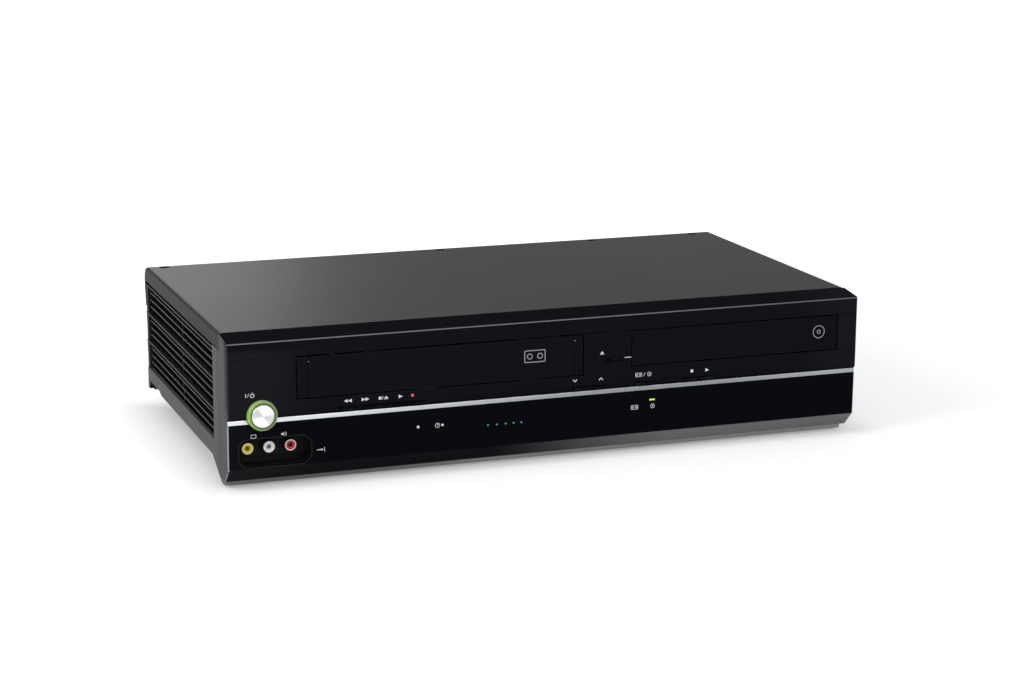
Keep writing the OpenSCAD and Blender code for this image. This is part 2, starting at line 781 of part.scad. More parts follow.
module front_board() {
    color("#9a7a3c") placed() {
        block([-inner_w / 2 + 4, board_y, side_z - 2], [inner_w / 2 - 4, board_y + board_t, board_top]);
        block([door_x1 + 5, board_y, board_top - EPS], [panel_x0 - 1, board_y + board_t, panel_z + 10]);
        for (k = key_list())
            block([k[0] - 2.5, switch_y, k[1] - 1.2], [k[0] + 2.5, board_y + EPS, k[1] + 1.2]);
        block([knob_x - 3, switch_y, knob_z - 3], [knob_x + 3, board_y + EPS, knob_z + 3]);
        stud(source_x + 6.2, bar_z - 7.3, lower_step + inlay_t + wall + 1, board_y + EPS, 1.5);
    }
}

module display_module() {
    color("#0d1719") placed()
        block([display_x - 24, lower_step + inlay_t + wall + 1, display_z - display_half - 1],
              [display_x + 24, board_y, display_z + display_half + 1]);
}

// ---------- tape door and deck ----------

module tape_door() {
    back = door_face + door_t;
    color("#101114") placed() {
        difference() {
            union() {
                block([door_x0, door_face, door_z], [door_x1, back, hinge_z]);
                axle(door_x0, door_x1, hinge_y, hinge_z, hinge_r);
            }
            for (x = [door_x0 + 7.4, door_x1 - 6.2])
                block([x - 0.3, door_face - 1, door_z - 1], [x + 0.3, door_face + 0.3, door_top + 1]);
        }
        axle(door_x0 - hinge_pin_l, door_x1 + hinge_pin_l, hinge_y, hinge_z, hinge_pin_r);
    }
}

function deck_posts() = [for (sx = [-1, 1], y = [holder_y + 6, rear_y - 45]) [tape_x + sx * deck_post_x, y]];

module deck_plate() {
    color("#b9bcc0") placed() difference() {
        block([tape_x - rail_x - sheet_t, holder_y - 6, deck_z],
              [tape_x + rail_x + sheet_t, deck_back, deck_top]);
        post(capstan_x, capstan_y, deck_z - 1, deck_top + 1, capstan_r + fit);
        for (s = [-1, 1]) {
            post(tape_x + s * reel_span / 2, reel_y, deck_z - 1, deck_top + 1, 2 + fit);
            guide_slot(s, 2.2);
        }
        // room for the power inlet where the cabinet is short
        block([inlet_x - inlet_half, rear_y - inlet_depth - gap, deck_z - 1],
              [inlet_x + inlet_half, rear_y + 1, deck_top + 1]);
    }
}

// Straight slot in which a tape guide travels, on one side of the drum
module guide_slot(s, r) {
    x = tape_x + s * (drum_d / 2 + 8);
    for (y = [drum_y - drum_d / 2 + guide_start - 12, drum_y - drum_d / 2 + guide_start - 12 + guide_travel])
        post(x, y, deck_z - 1, deck_top + 1, r);
    block([x - r, drum_y - drum_d / 2 + guide_start - 12, deck_z - 1],
          [x + r, drum_y - drum_d / 2 + guide_start - 12 + guide_travel, deck_top + 1]);
}

module deck_rails() {
    rail_top = holder_z + cassette_h + 5;
    color("#a7aaae") placed() for (s = [-1, 1]) {
        x0 = tape_x + (s > 0 ? rail_x : -rail_x - sheet_t);
        difference() {
            block([x0, holder_y - 4, deck_top],
                  [x0 + sheet_t, holder_y + holder_l + holder_in + 6, rail_top]);
            for (y = [holder_y + 8, holder_y + holder_l - 8])
                rail_slot(x0 - 1, x0 + sheet_t + 1, y, holder_in, guide_pin_r + fit);
        }
    }
}

// Level slot for one guide pin, as long as the holder's way in
module rail_slot(x0, x1, y, length, r) {
    axle(x0, x1, y, slot_z, r);
    axle(x0, x1, y + length, slot_z, r);
    block([x0, y, slot_z - r], [x1, y + length, slot_z + r]);
}

module holder_slider() {
    top = holder_z + cassette_h + 4;
    color("#8d9095") placed() {
        for (s = [-1, 1]) {
            x0 = tape_x + (s > 0 ? runner_x : -runner_x - sheet_t);
            pin0 = s > 0 ? x0 + sheet_t - EPS : x0 - gap - sheet_t;
            difference() {
                block([x0, holder_y + 2, lift_z - holder_down - 4],
                      [x0 + sheet_t, holder_y + holder_l - 2, top]);
                axle(x0 - 1, x0 + sheet_t + 1, holder_y + holder_l / 2, lift_z, lift_pin_r + fit);
                axle(x0 - 1, x0 + sheet_t + 1, holder_y + holder_l / 2,
                     lift_z - holder_down, lift_pin_r + fit);
                block([x0 - 1, holder_y + holder_l / 2 - lift_pin_r - fit, lift_z - holder_down],
                      [x0 + sheet_t + 1, holder_y + holder_l / 2 + lift_pin_r + fit, lift_z]);
            }
            for (y = [holder_y + 8, holder_y + holder_l - 8])
                axle(pin0, pin0 + gap + sheet_t + EPS, y, slot_z, guide_pin_r);
        }
        block([tape_x - runner_x - sheet_t, holder_y + holder_l / 2 - 8, top - sheet_t],
              [tape_x + runner_x + sheet_t, holder_y + holder_l / 2 + 8, top]);
    }
}

module cassette_holder() {
    side_t = holder_x - cassette_w / 2;
    top = holder_z + cassette_h;
    color("#77797d") placed() {
        for (s = [-1, 1]) {
            x0 = tape_x + (s > 0 ? cassette_w / 2 : -holder_x);
            block([x0, holder_y, holder_z - 1.2], [x0 + side_t, holder_y + holder_l, top + 1.2]);
            block([tape_x + (s > 0 ? cassette_w / 2 - 14 : -cassette_w / 2 - EPS), holder_y, holder_z - 1.2],
                  [tape_x + (s > 0 ? cassette_w / 2 + EPS : 14 - cassette_w / 2),
                   holder_y + holder_l, holder_z]);
            axle(tape_x + (s > 0 ? holder_x - EPS : -holder_x - gap - sheet_t + 0.3),
                 tape_x + (s > 0 ? holder_x + gap + sheet_t - 0.3 : -holder_x + EPS),
                 holder_y + holder_l / 2, lift_z, lift_pin_r);
        }
        block([tape_x - cassette_w / 2 - EPS, holder_y, top],
              [tape_x + cassette_w / 2 + EPS, holder_y + holder_l, top + 1.2]);
    }
}

// The drum stands on a low seat and leans towards the rear
module at_drum() {
    translate([tape_x, drum_y, deck_top + 3]) rotate([-drum_lean, 0, 0]) children();
}

module lower_drum() {
    color("#c4c7ca") placed() {
        at_drum() difference() {
            cylinder(h = 18, d = drum_d);
            translate([0, 0, 10]) cylinder(h = 10, r = 3 + fit);
        }
        for (a = [30, 150, 270])
            post(tape_x + 20 * cos(a), drum_y + 20 * sin(a), deck_top, deck_top + 4 + 1.2 * (1 - sin(a)), 4);
    }
}

module upper_drum() {
    color("#d5d8da") placed() at_drum() {
        translate([0, 0, 18 + gap]) cylinder(h = 16, d = drum_d);
        translate([0, 0, 34]) cylinder(h = 3, d = 22);
        translate([0, 0, 12]) cylinder(h = 8, r = 3);
    }
}

module reel(s) {
    x = tape_x + s * reel_span / 2;
    color("#2a2c2f") placed() {
        post(x, reel_y, deck_top + gap, deck_top + 3, reel_r);
        post(x, reel_y, deck_top + 3 - EPS, deck_top + 7, 10);
        post(x, reel_y, deck_top + 7 - EPS, deck_top + 18, hub_r);
        post(x, reel_y, deck_z - 2, deck_top + gap + EPS, 2);
        for (a = [0, 60, 120])
            translate([x, reel_y, deck_top + 7]) rotate([0, 0, a])
                translate([-hub_r - 1.4, -0.8, 0]) cube([2 * hub_r + 2.8, 1.6, 9]);
    }
}

module supply_reel() { reel(-1); }
module takeup_reel() { reel(1); }

module capstan() {
    color("#dfe2e5") placed() {
        post(capstan_x, capstan_y, deck_z - 8, deck_z - 2, flywheel_r);
        post(capstan_x, capstan_y, deck_z - 2 - EPS, deck_top + 36, capstan_r);
    }
}

module pinch_arm() {
    color("#9da0a4") placed() difference() {
        union() {
            post(pinch_x, pinch_y, deck_top + gap, deck_top + 12, 4);
            post(roller_x, roller_y, deck_top + 4, deck_top + 5.5, 4);
            translate([0, 0, deck_top + 4]) linear_extrude(1.5)
                polygon([[pinch_x - 4, pinch_y], [pinch_x + 4, pinch_y], [roller_x + 4, roller_y],
                         [roller_x - 4, roller_y]]);
            post(roller_x, roller_y, deck_top + 5, deck_top + 25, 1.5);
        }
        post(pinch_x, pinch_y, deck_top, deck_top + 13, 2 + fit);
    }
}

module pinch_roller() {
    color("#1e1e1f") placed() difference() {
        post(roller_x, roller_y, deck_top + 5.5 + gap, deck_top + 24, roller_r);
        post(roller_x, roller_y, deck_top + 5, deck_top + 25, 1.5 + fit);
    }
}

module tape_guide(s) {
    x = tape_x + s * (drum_d / 2 + 8);
    y = drum_y - drum_d / 2 + guide_start - 12;
    color("#c9a24a") placed() {
        block([x - 5, y - 5, deck_top + gap], [x + 5, y + 6, deck_top + 4]);
        post(x, y, deck_z - 2, deck_top + gap + EPS, 2);
        post(x, y, deck_z - 3.5, deck_z - gap, 4);
        post(x, y - 1, deck_top + 4 - EPS, deck_top + 30, 2.4);
        post(x, y - 1, deck_top + 27, deck_top + 30, 3.6);
        translate([x, y + 3.5, deck_top + 4 - EPS]) rotate([0, s * -guide_lean, 0]) cylinder(h = 24, r = 1.2);
    }
}

module left_tape_guide() { tape_guide(-1); }
module right_tape_guide() { tape_guide(1); }

module tape_heads() {
    erase_x = tape_x - drum_d / 2 - 26;
    audio_x = capstan_x - 12;
    color("#b5b8bb") placed() {
        for (x = [erase_x, audio_x]) {
            block([x - 5, drum_y - 28, deck_top], [x + 5, drum_y - 18, deck_top + 8]);
            block([x - 4, drum_y - 27, deck_top + 8 - EPS], [x + 4, drum_y - 20, deck_top + 26]);
        }
        post(pinch_x, pinch_y, deck_top, deck_top + 13, 2);
    }
}

// ---------- disc loader ----------

function loader_posts() = [for (sx = [-1, 1], y = [loader_y0 + 26, loader_y1 - 8])
    [disc_x + sx * (loader_w / 2 - 6), y]];

module disc_tray() {
    x0 = disc_x - tray_w / 2;
    y1 = tray_y0 + tray_l;
    teeth = floor((tray_travel + 20) / (PI * gear_m));
    color("#26272a") placed() {
        difference() {
            block([x0, tray_y0, tray_z], [x0 + tray_w, y1, tray_top]);
            post(disc_x, disc_y, tray_top - 2, tray_top + 1, disc_seat_d / 2);
            post(disc_x, disc_y, tray_top - 3.4, tray_top + 1, 41);
            post(disc_x, disc_y, tray_z - 1, tray_top + 1, slot_half);
            block([disc_x - slot_half, disc_y, tray_z - 1], [disc_x + slot_half, y1 + 1, tray_top + 1]);
            for (s = [-1, 1])
                block([disc_x + s * 56 - 8, disc_y - 60, tray_top - 3.4],
                      [disc_x + s * 56 + 8, disc_y - 40, tray_top + 1]);
        }
        translate([rack_x, gear_y + PI * gear_m / 2, rack_z]) rack(gear_m, -3 * PI * gear_m, teeth, 5 + EPS);
        block([rack_x - 3.2, gear_y - 3 * PI * gear_m, rack_z], [rack_x - gear_m, y1 - 2, tray_z + EPS]);
    }
}

module tray_panel() {
    color("#121316") placed() {
        block([panel_x0, door_face, panel_z], [panel_x1, door_face + 2.2, panel_top]);
        block([disc_x - tray_w / 2 + 10, door_face + 2.2 - EPS, tray_z],
              [disc_x + tray_w / 2 - 10, tray_y0, tray_top]);
    }
}

module loader_frame() {
    half = loader_w / 2;
    color("#3a3c40") placed() difference() {
        union() {
            for (s = [-1, 1]) {
                x0 = disc_x + (s > 0 ? tray_w / 2 + gap : -half);
                block([x0, loader_y0, loader_z], [x0 + half - tray_w / 2 - gap, loader_y1, bridge_z]);
                ledge = disc_x + (s > 0 ? tray_w / 2 - 3 : -tray_w / 2 - gap - EPS);
                block([ledge, loader_y0, ledge_z - 2], [ledge + 3 + gap + EPS, loader_y1, ledge_z]);
                lug = disc_x + (s > 0 ? traverse_w / 2 + gap : -half);
                block([lug, pivot_y - 5, loader_z],
                      [lug + half - traverse_w / 2 - gap, pivot_y + 5, traverse_z + 6]);
            }
            block([disc_x - half, loader_y1 - 4, loader_z], [disc_x + half, loader_y1, bridge_z]);
            block([disc_x - half, loader_y0 + 2, loader_z], [disc_x + half, gear_y + 12, loader_z + wall]);
            post(gear_x, gear_y, loader_z, rack_z + 4.5, 2);
        }
        axle(disc_x - half - 1, disc_x + half + 1, pivot_y, traverse_z + traverse_t / 2, pivot_r + fit);
        post(pinion_x, gear_y, loader_z - 1, loader_z + wall + 1, 5);
        for (s = [-1, 1])
            post(disc_x + s * (half - 3), disc_y, bridge_z - 8, bridge_z + 1, 1.2);
    }
}

module clamp_bridge() {
    half = loader_w / 2;
    color("#9ea1a5") placed() {
        difference() {
            block([disc_x - half, disc_y - 20, bridge_z], [disc_x + half, disc_y + 20, bridge_z + sheet_t]);
            post(disc_x, disc_y, bridge_z - 1, bridge_z + 3, 9);
        }
        for (s = [-1, 1]) {
            post(disc_x + s * (half - 3), disc_y, bridge_z - 6, bridge_z + EPS, 1.2);
            post(disc_x + s * (half - 3), disc_y, bridge_z + sheet_t - EPS, bridge_z + sheet_t + 1.4, 2.6);
        }
    }
}

module clamp_puck() {
    color("#e4e4e0") placed() {
        post(disc_x, disc_y, bridge_z - 3.5, bridge_z - gap, puck_d / 2);
        post(disc_x, disc_y, bridge_z - gap - EPS, bridge_z + sheet_t + gap, 8.6);
        post(disc_x, disc_y, bridge_z + sheet_t + gap - EPS, bridge_z + sheet_t + 2, 11);
    }
}

module traverse_frame() {
    half = traverse_w / 2;
    color("#2f3134") placed() difference() {
        union() {
            block([disc_x - half, traverse_y0, traverse_z],
                  [disc_x + half, pivot_y + 3, traverse_z + traverse_t]);
            for (s = [-1, 1], y = [disc_y + turntable_d / 2 + 1, pivot_y - 9])
                block([disc_x + s * rod_x - 3, y, traverse_z], [disc_x + s * rod_x + 3, y + 3, rod_z + 3]);
            axle(disc_x - half - 8, disc_x + half + 8, pivot_y, traverse_z + traverse_t / 2, pivot_r);
        }
        block([disc_x - 20, disc_y + 8, traverse_z - 1],
              [disc_x + 20, pivot_y - 8, traverse_z + traverse_t + 1]);
        post(disc_x, disc_y, traverse_z - 1, traverse_z + traverse_t + 1, spindle_r + fit);
        for (s = [-1, 1])
            translate([disc_x + s * rod_x, 0, rod_z]) rotate([-90, 0, 0])
                translate([0, 0, disc_y]) cylinder(h = pivot_y - disc_y, r = rod_r);
    }
}

module spindle_motor() {
    color("#bfc2c5") placed() difference() {
        post(disc_x, disc_y, traverse_z - 7, traverse_z + 4, spindle_r);
        post(disc_x, disc_y, traverse_z - 1, traverse_z + 5, 1 + fit);
    }
}

module turntable() {
    color("#3c3e41") placed() {
        post(disc_x, disc_y, traverse_z + 4 + gap, tray_top - 1.2, 7);
        post(disc_x, disc_y, tray_top - 2.6, tray_top - 1.2, turntable_d / 2);
        post(disc_x, disc_y, tray_top - 1.2 - EPS, tray_top + 0.8, 7.4);
        post(disc_x, disc_y, traverse_z, traverse_z + 4 + gap + EPS, 1);
    }
}

module guide_rods() {
    color("#dcdfe2") placed() for (s = [-1, 1])
        translate([disc_x + s * rod_x, disc_y + turntable_d / 2 + 1, rod_z]) rotate([-90, 0, 0])
            cylinder(h = pivot_y - 6 - disc_y - turntable_d / 2 - 1, r = rod_r);
}

module pickup_sled() {
    color("#56595d") placed() {
        difference() {
            union() {
                block([disc_x - 18, sled_y0, traverse_z + 1], [disc_x + 18, sled_y0 + sled_l, rod_z + 3]);
                for (s = [-1, 1])
                    block([disc_x + s * 24 - 6.5, sled_y0 + 6, rod_z - 3 + 1.5],
                          [disc_x + s * 24 + 6.5, sled_y0 + sled_l - 4, rod_z + 3]);
            }
            for (s = [-1, 1])
                translate([disc_x + s * rod_x, sled_y0 - 1, rod_z]) rotate([-90, 0, 0])
                    cylinder(h = sled_l + 2, r = rod_r + fit);
        }
        post(disc_x, sled_y0 + 8, rod_z + 3 - EPS, tray_z + 1, 5);
        post(disc_x, sled_y0 + 8, tray_z + 1 - EPS, tray_z + 2, 3);
    }
}

module tray_gear() {
    color("#d9d7cf") placed() translate([gear_x, gear_y, 0]) {
        translate([0, 0, large_z]) gear(gear_m, large_teeth, 3.5, 2 + fit);
        translate([0, 0, large_z + 3.5 - EPS]) difference() {
            cylinder(h = rack_z - large_z - 3.5 + 2 * EPS, r = small_r - 2);
            translate([0, 0, -1]) cylinder(h = 8, r = 2 + fit);
        }
        translate([0, 0, rack_z]) gear(gear_m, small_teeth, 4.5, 2 + fit);
    }
}

module loader_motor() {
    color("#b2b5b8") placed() {
        post(pinion_x, gear_y, loader_z - 16, loader_z - EPS, 9.5);
        post(pinion_x, gear_y, loader_z - EPS, loader_z + wall, 4.9);
        post(pinion_x, gear_y, loader_z + wall - EPS, large_z + 3.5, 1);
    }
}

module motor_pinion() {
    color("#d9d7cf") placed() translate([pinion_x, gear_y, large_z])
        rotate([0, 0, 180 / small_teeth]) gear(gear_m, small_teeth, 3.5, 1 + fit);
}

// ---------- boards and rear sockets ----------

function board_posts() = [for (x = [board_x0 + 6, half_w - 22], y = [board_y0 + 6, rear_y - 22]) [x, y]];
function power_posts() = [for (x = [power_x0 + 6, power_x1 - 8], y = [drum_y, rear_y - 22]) [x, y]];

module main_board() {
    chip_pitch = (board_w - 25.5) / 6;
    can_pitch = (board_w - 21.5) / 8;
    color("#2f5a36") placed() {
        difference() {
            block([board_x0, board_y0, board_z], [half_w - 16, rear_y - 14, board_z + board_t]);
            for (p = loader_posts())
                post(p[0], p[1], board_z - 1, board_z + 3, 5);
        }
        for (i = [0:5])
            block([board_x0 + 14 + i * chip_pitch, board_y0 + 18, board_z + board_t - EPS],
                  [board_x0 + 30 + i * chip_pitch, board_y0 + 32 - i, board_z + board_t + 2]);
        for (i = [0:7])
            post(board_x0 + 14 + i * can_pitch, board_y0 + 48,
                 board_z + board_t - EPS, board_z + 10, 3 + i % 3);
    }
}

module power_board() {
    z = board_z + board_t;
    x = tape_x - deck_post_x;
    color("#8c6a34") placed() {
        difference() {
            block([power_x0, drum_y - 8, board_z], [power_x1, rear_y - 16, z]);
            for (p = deck_posts())
                post(p[0], p[1], board_z - 1, z + 1, 5);
        }
    }
    color("#c7a23a") placed() block([x + 4.5, rear_y - 50, z - EPS], [x + 28.5, rear_y - 24, z + 11]);
    color("#232323") placed() for (i = [0:2])
        post(x - 15.5, rear_y - 48 + i * 13, z - EPS, z + 11, 5.5);
}

module rear_sockets() {
    x1 = rear_phono_x + 8;
    x0 = rear_phono_x - (rear_columns - 1) * rear_pitch_x - 8;
    color("#1d1e20") placed() difference() {
        union() {
            block([x0, rear_block_y, rear_phono_z - 8],
                  [x1, rear_y - gap, rear_phono_z + (rear_rows - 1) * rear_pitch_z + 8]);
            for (c = [0:rear_columns - 1], r = [0:rear_rows - 1])
                stud(rear_phono_x - c * rear_pitch_x, rear_phono_z + r * rear_pitch_z, rear_y - gap - EPS,
                     rear_end, phono_r);
            block([x0 + 4, rear_block_y, board_z + board_t], [x1 - 4, rear_block_y + 3, rear_phono_z]);
        }
        for (c = [0:rear_columns - 1], r = [0:rear_rows - 1])
            stud(rear_phono_x - c * rear_pitch_x,
                 rear_phono_z + r * rear_pitch_z, rear_y, rear_end + 1, pin_r);
    }
}

module antenna_sockets() {
    color("#c9ccd0") placed() difference() {
        union() {
            block([antenna_x - 12, rear_y - 26, antenna_z - 12],
                  [antenna_x + 12, rear_y - gap, antenna_z + 31]);
            for (s = [0, 1])
                stud(antenna_x, antenna_z + s * antenna_pitch, rear_y - gap - EPS, rear_end, antenna_r);
            block([antenna_x - 10, rear_y - 26, board_z + board_t], [antenna_x + 10, rear_y - 22, antenna_z]);
        }
        for (s = [0, 1])
            stud(antenna_x, antenna_z + s * antenna_pitch, body_d, rear_end + 1, 1.4);
    }
}

module power_inlet() {
    color("#161617") placed() {
        difference() {
            union() {
                block([inlet_x - 11, rear_y - inlet_depth, inlet_z - 7],
                      [inlet_x + 11, rear_y + cover_t + EPS, inlet_z + 7]);
                block([inlet_x - inlet_half, rear_y + cover_t, inlet_z - 9],
                      [inlet_x + inlet_half, rear_y + cover_t + 1.6, inlet_z + 9]);
            }
            front_profile(rear_y - 12,
                          rear_y + 4) translate([inlet_x, inlet_z]) rounded_square(17.6, 8.6, 4.29);
        }
        for (s = [-1, 1])
            stud(inlet_x + s * 4.3, inlet_z, rear_y - 13, rear_y + 1, 1.2);
        block([inlet_x - 9, rear_y - 17, board_z + board_t], [inlet_x + 9, rear_y - 14, inlet_z]);
    }
}

main_chassis();
top_cover();
rear_panel();
front_bezel();
display_window();
trim_bar();
feet();
cover_screws();
power_button();
power_ring();
rewind_key();
fast_forward_key();
stop_eject_key();
play_key();
record_key();
tracking_down_key();
tracking_up_key();
source_key();
disc_stop_key();
disc_play_key();
open_close_key();
socket_block();
video_socket();
left_audio_socket();
right_audio_socket();
front_board();
display_module();
tape_door();
disc_tray();
tray_panel();
loader_frame();
clamp_bridge();
clamp_puck();
traverse_frame();
turntable();
spindle_motor();
pickup_sled();
guide_rods();
tray_gear();
loader_motor();
motor_pinion();
deck_plate();
deck_rails();
holder_slider();
cassette_holder();
lower_drum();
upper_drum();
supply_reel();
takeup_reel();
capstan();
pinch_arm();
pinch_roller();
left_tape_guide();
right_tape_guide();
tape_heads();
main_board();
power_board();
rear_sockets();
antenna_sockets();
power_inlet();
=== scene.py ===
"""A disc player and cassette recorder in one cabinet, dressed over its solid model.

Shapes and finishes take millimetres, with x to the right from the middle, y to the rear from the plane of
the upper front, and z up from the table. at() turns them into metres in the model's own frame.
"""

import functools
import json
import math

import bmesh
import bpy
import numpy as np
from mathutils import Matrix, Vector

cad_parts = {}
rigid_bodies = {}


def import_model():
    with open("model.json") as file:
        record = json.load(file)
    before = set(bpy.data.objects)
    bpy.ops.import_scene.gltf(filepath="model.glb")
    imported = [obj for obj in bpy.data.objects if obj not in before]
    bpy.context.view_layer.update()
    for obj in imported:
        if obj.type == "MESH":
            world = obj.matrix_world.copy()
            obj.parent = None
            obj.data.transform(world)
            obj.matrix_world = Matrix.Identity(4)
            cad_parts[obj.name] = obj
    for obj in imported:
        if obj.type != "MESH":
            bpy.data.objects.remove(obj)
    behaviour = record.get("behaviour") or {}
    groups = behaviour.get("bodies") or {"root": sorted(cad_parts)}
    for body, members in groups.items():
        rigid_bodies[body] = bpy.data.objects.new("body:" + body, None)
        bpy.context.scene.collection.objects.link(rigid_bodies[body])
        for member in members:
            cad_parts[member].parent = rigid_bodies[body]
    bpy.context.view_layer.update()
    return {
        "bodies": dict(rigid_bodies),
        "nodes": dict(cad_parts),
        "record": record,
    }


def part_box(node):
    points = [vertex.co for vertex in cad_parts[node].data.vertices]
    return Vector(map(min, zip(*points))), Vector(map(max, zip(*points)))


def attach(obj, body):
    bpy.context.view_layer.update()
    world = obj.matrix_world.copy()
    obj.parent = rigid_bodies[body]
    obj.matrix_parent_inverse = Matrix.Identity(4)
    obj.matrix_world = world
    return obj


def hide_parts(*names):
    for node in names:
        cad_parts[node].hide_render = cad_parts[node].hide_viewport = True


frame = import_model()
NODES = frame["nodes"]
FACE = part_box("front_bezel")[0].y


# ---------- shapes ----------


def at(points):
    """Metres = millimetres / 1000, with y counted from the plane of the upper front."""
    return np.asarray(points, float) / 1000 + np.array([0, FACE, 0])


def corners(node):
    """Lowest and highest corner of a node, in the helpers' millimetres."""
    low, high = (np.array(c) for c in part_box(node))
    shift = np.array([0, FACE, 0])
    return (low - shift) * 1000, (high - shift) * 1000


def middle(node):
    """The middle of a node's box, in millimetres."""
    low, high = corners(node)
    return (low + high) / 2


def quads(rows, cols, wrap_rows=False, wrap_cols=False):
    """Four-sided faces of a grid: corner (i, j) goes to (i, j+1), (i+1, j+1) and (i+1, j). Rows and columns
    wrap if asked."""
    i = np.arange(rows if wrap_rows else rows - 1)[:, None]
    j = np.arange(cols if wrap_cols else cols - 1)[None]
    i2, j2 = (i + 1) % rows, (j + 1) % cols
    grid = [i * cols + j, i * cols + j2, i2 * cols + j2, i2 * cols + j]
    return np.stack(np.broadcast_arrays(*grid), -1).reshape(-1, 4).tolist()


def gather(parts):
    """Several (points, faces) pairs as one, each one's corner numbers raised by the points before it."""
    points, faces, count = [], [], 0
    for p, f in parts:
        points.append(np.asarray(p, float))
        faces += [[c + count for c in face] for face in f]
        count += len(p)
    return np.concatenate(points), faces


def lathe(profile, centre, n, ring):
    """A profile of (radius r, forward distance f) turned about an axis along Y through centre:
    x = cx + r cos a, y = cy - f, z = cz + r sin a. A ring's profile closes on itself, others get caps."""
    r, f = np.array(profile, float).T
    a = np.arange(n) * 2 * np.pi / n
    x = centre[0] + np.outer(r, np.cos(a))
    z = centre[2] + np.outer(r, np.sin(a))
    y = centre[1] - f[:, None] + 0 * x
    faces = quads(len(r), n, ring, True)
    if not ring:
        faces += [list(range(n)), [(len(r) - 1) * n + k for k in range(n)]]
    return np.stack([x, y, z], -1).reshape(-1, 3), faces


def prism(outline, y0, y1):
    """A flat outline of (x, z) points carried from depth y0 to depth y1, capped at both ends."""
    o = np.asarray(outline, float)
    n = len(o)
    points = np.concatenate([np.insert(o, 1, y0, 1), np.insert(o, 1, y1, 1)])
    return points, quads(2, n, False, True) + [list(range(n)), list(range(n, 2 * n))]


def rounded(w, h, r, x, z, n=8):
    """Outline of a rectangle w by h about (x, z) whose corners are quarter circles of radius r."""
    a = np.linspace(0, np.pi / 2, n)
    parts = []
    for k, (sx, sz) in enumerate([(1, 1), (-1, 1), (-1, -1), (1, -1)]):
        t = a + k * np.pi / 2
        cx, cz = x + sx * (w / 2 - r), z + sz * (h / 2 - r)
        parts.append(np.stack([cx + r * np.cos(t), cz + r * np.sin(t)], -1))
    return np.concatenate(parts)


def oval(x, z, r, r2, n):
    """Outline of an ellipse: (x + r cos a, z + r2 sin a)."""
    a = np.arange(n) * 2 * np.pi / n
    return np.stack([x + r * np.cos(a), z + r2 * np.sin(a)], -1)


def disc(x, z, r, n=24):
    """Outline of a circle."""
    return oval(x, z, r, r, n)


def hoop(outline, section):
    """A section of (outward, y) points carried round a closed outline: each point + its outward normal *
    outward, at depth y."""
    o = np.asarray(outline, float)
    along = np.roll(o, -1, 0) - np.roll(o, 1, 0)
    normal = np.stack([along[:, 1], -along[:, 0]], -1)
    normal /= np.linalg.norm(normal, axis=1, keepdims=True)
    s = np.asarray(section, float)
    flat = o[:, None] + normal[:, None] * s[None, :, :1]
    y = np.broadcast_to(s[None, :, 1], flat.shape[:2])
    points = np.stack([flat[..., 0], y, flat[..., 1]], -1).reshape(-1, 3)
    return points, quads(len(o), len(s), True, True)


def band(outer, inner, y0, y1):
    """A flat ring between two outlines with the same number of points, from depth y0 to depth y1."""
    o, i = np.asarray(outer, float), np.asarray(inner, float)
    n = len(o)
    rows = [np.insert(o, 1, y0, 1), np.insert(o, 1, y1, 1), np.insert(i, 1, y1, 1), np.insert(i, 1, y0, 1)]
    return np.concatenate(rows), quads(4, n, True, True)


def placed(name, data):
    """A new object in the scene, at the origin."""
    obj = bpy.data.objects.new(name, data)
    bpy.context.scene.collection.objects.link(obj)
    return obj


def dress(obj, material, body, slot, stands_for):
    """Gives a piece its material and body, and hides the nodes it stands for. The slot is not used."""
    obj.data.materials.clear()
    obj.data.materials.append(material)
    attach(obj, body)
    if stands_for:
        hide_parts(*stands_for)
    return obj


def add(name, shape, material, smooth, body="cabinet", slot=None, stands_for=()):
    """A closed piece from (points, faces), its faces turned outwards and shaded smooth up to an angle."""
    mesh = bpy.data.meshes.new(name)
    mesh.from_pydata(at(shape[0]).tolist(), [], shape[1])
    bm = bmesh.new()
    bm.from_mesh(mesh)
    bmesh.ops.recalc_face_normals(bm, faces=bm.faces)
    bm.to_mesh(mesh)
    bm.free()
    obj = placed(name, mesh)
    mesh.polygons.foreach_set("use_smooth", [True] * len(mesh.polygons))
    mesh.set_sharp_from_angle(angle=math.radians(smooth))
    return dress(obj, material, body, slot, stands_for)


def read(items, key, width=1, kind=float):
    """One attribute of a mesh's items as an array."""
    out = np.empty(len(items) * width, kind)
    items.foreach_get(key, out)
    return out.reshape(-1, width) if width > 1 else out


def face_pairs(mesh):
    """Edges with two faces: their numbers, both faces, and the cosine of the angle between the normals."""
    edge = read(mesh.loops, "edge_index", kind=np.int32)
    normal = read(mesh.polygons, "normal", 3)
    face = np.repeat(np.arange(len(mesh.polygons)), read(mesh.polygons, "loop_total", kind=np.int32))
    order = np.argsort(edge, kind="stable")
    edge, face = edge[order], face[order]
    pair = np.flatnonzero(edge[:-1] == edge[1:])
    first, second = face[pair], face[pair + 1]
    return edge[pair], first, second, (normal[first] * normal[second]).sum(1)


def edge_lengths(mesh):
    """The distance between the two ends of each edge."""
    ends = read(mesh.vertices, "co", 3)[read(mesh.edges, "vertices", 2, np.int32)]
    return np.linalg.norm(ends[:, 0] - ends[:, 1], axis=1)


def cos(degrees):
    """The cosine of an angle in degrees."""
    return math.cos(math.radians(degrees))


GENTLE = (1, 32)  # degrees by which two faces of one curve turn
SMALL_FACE = 30e-6  # m2
NARROW_FACE = 3e-3  # m


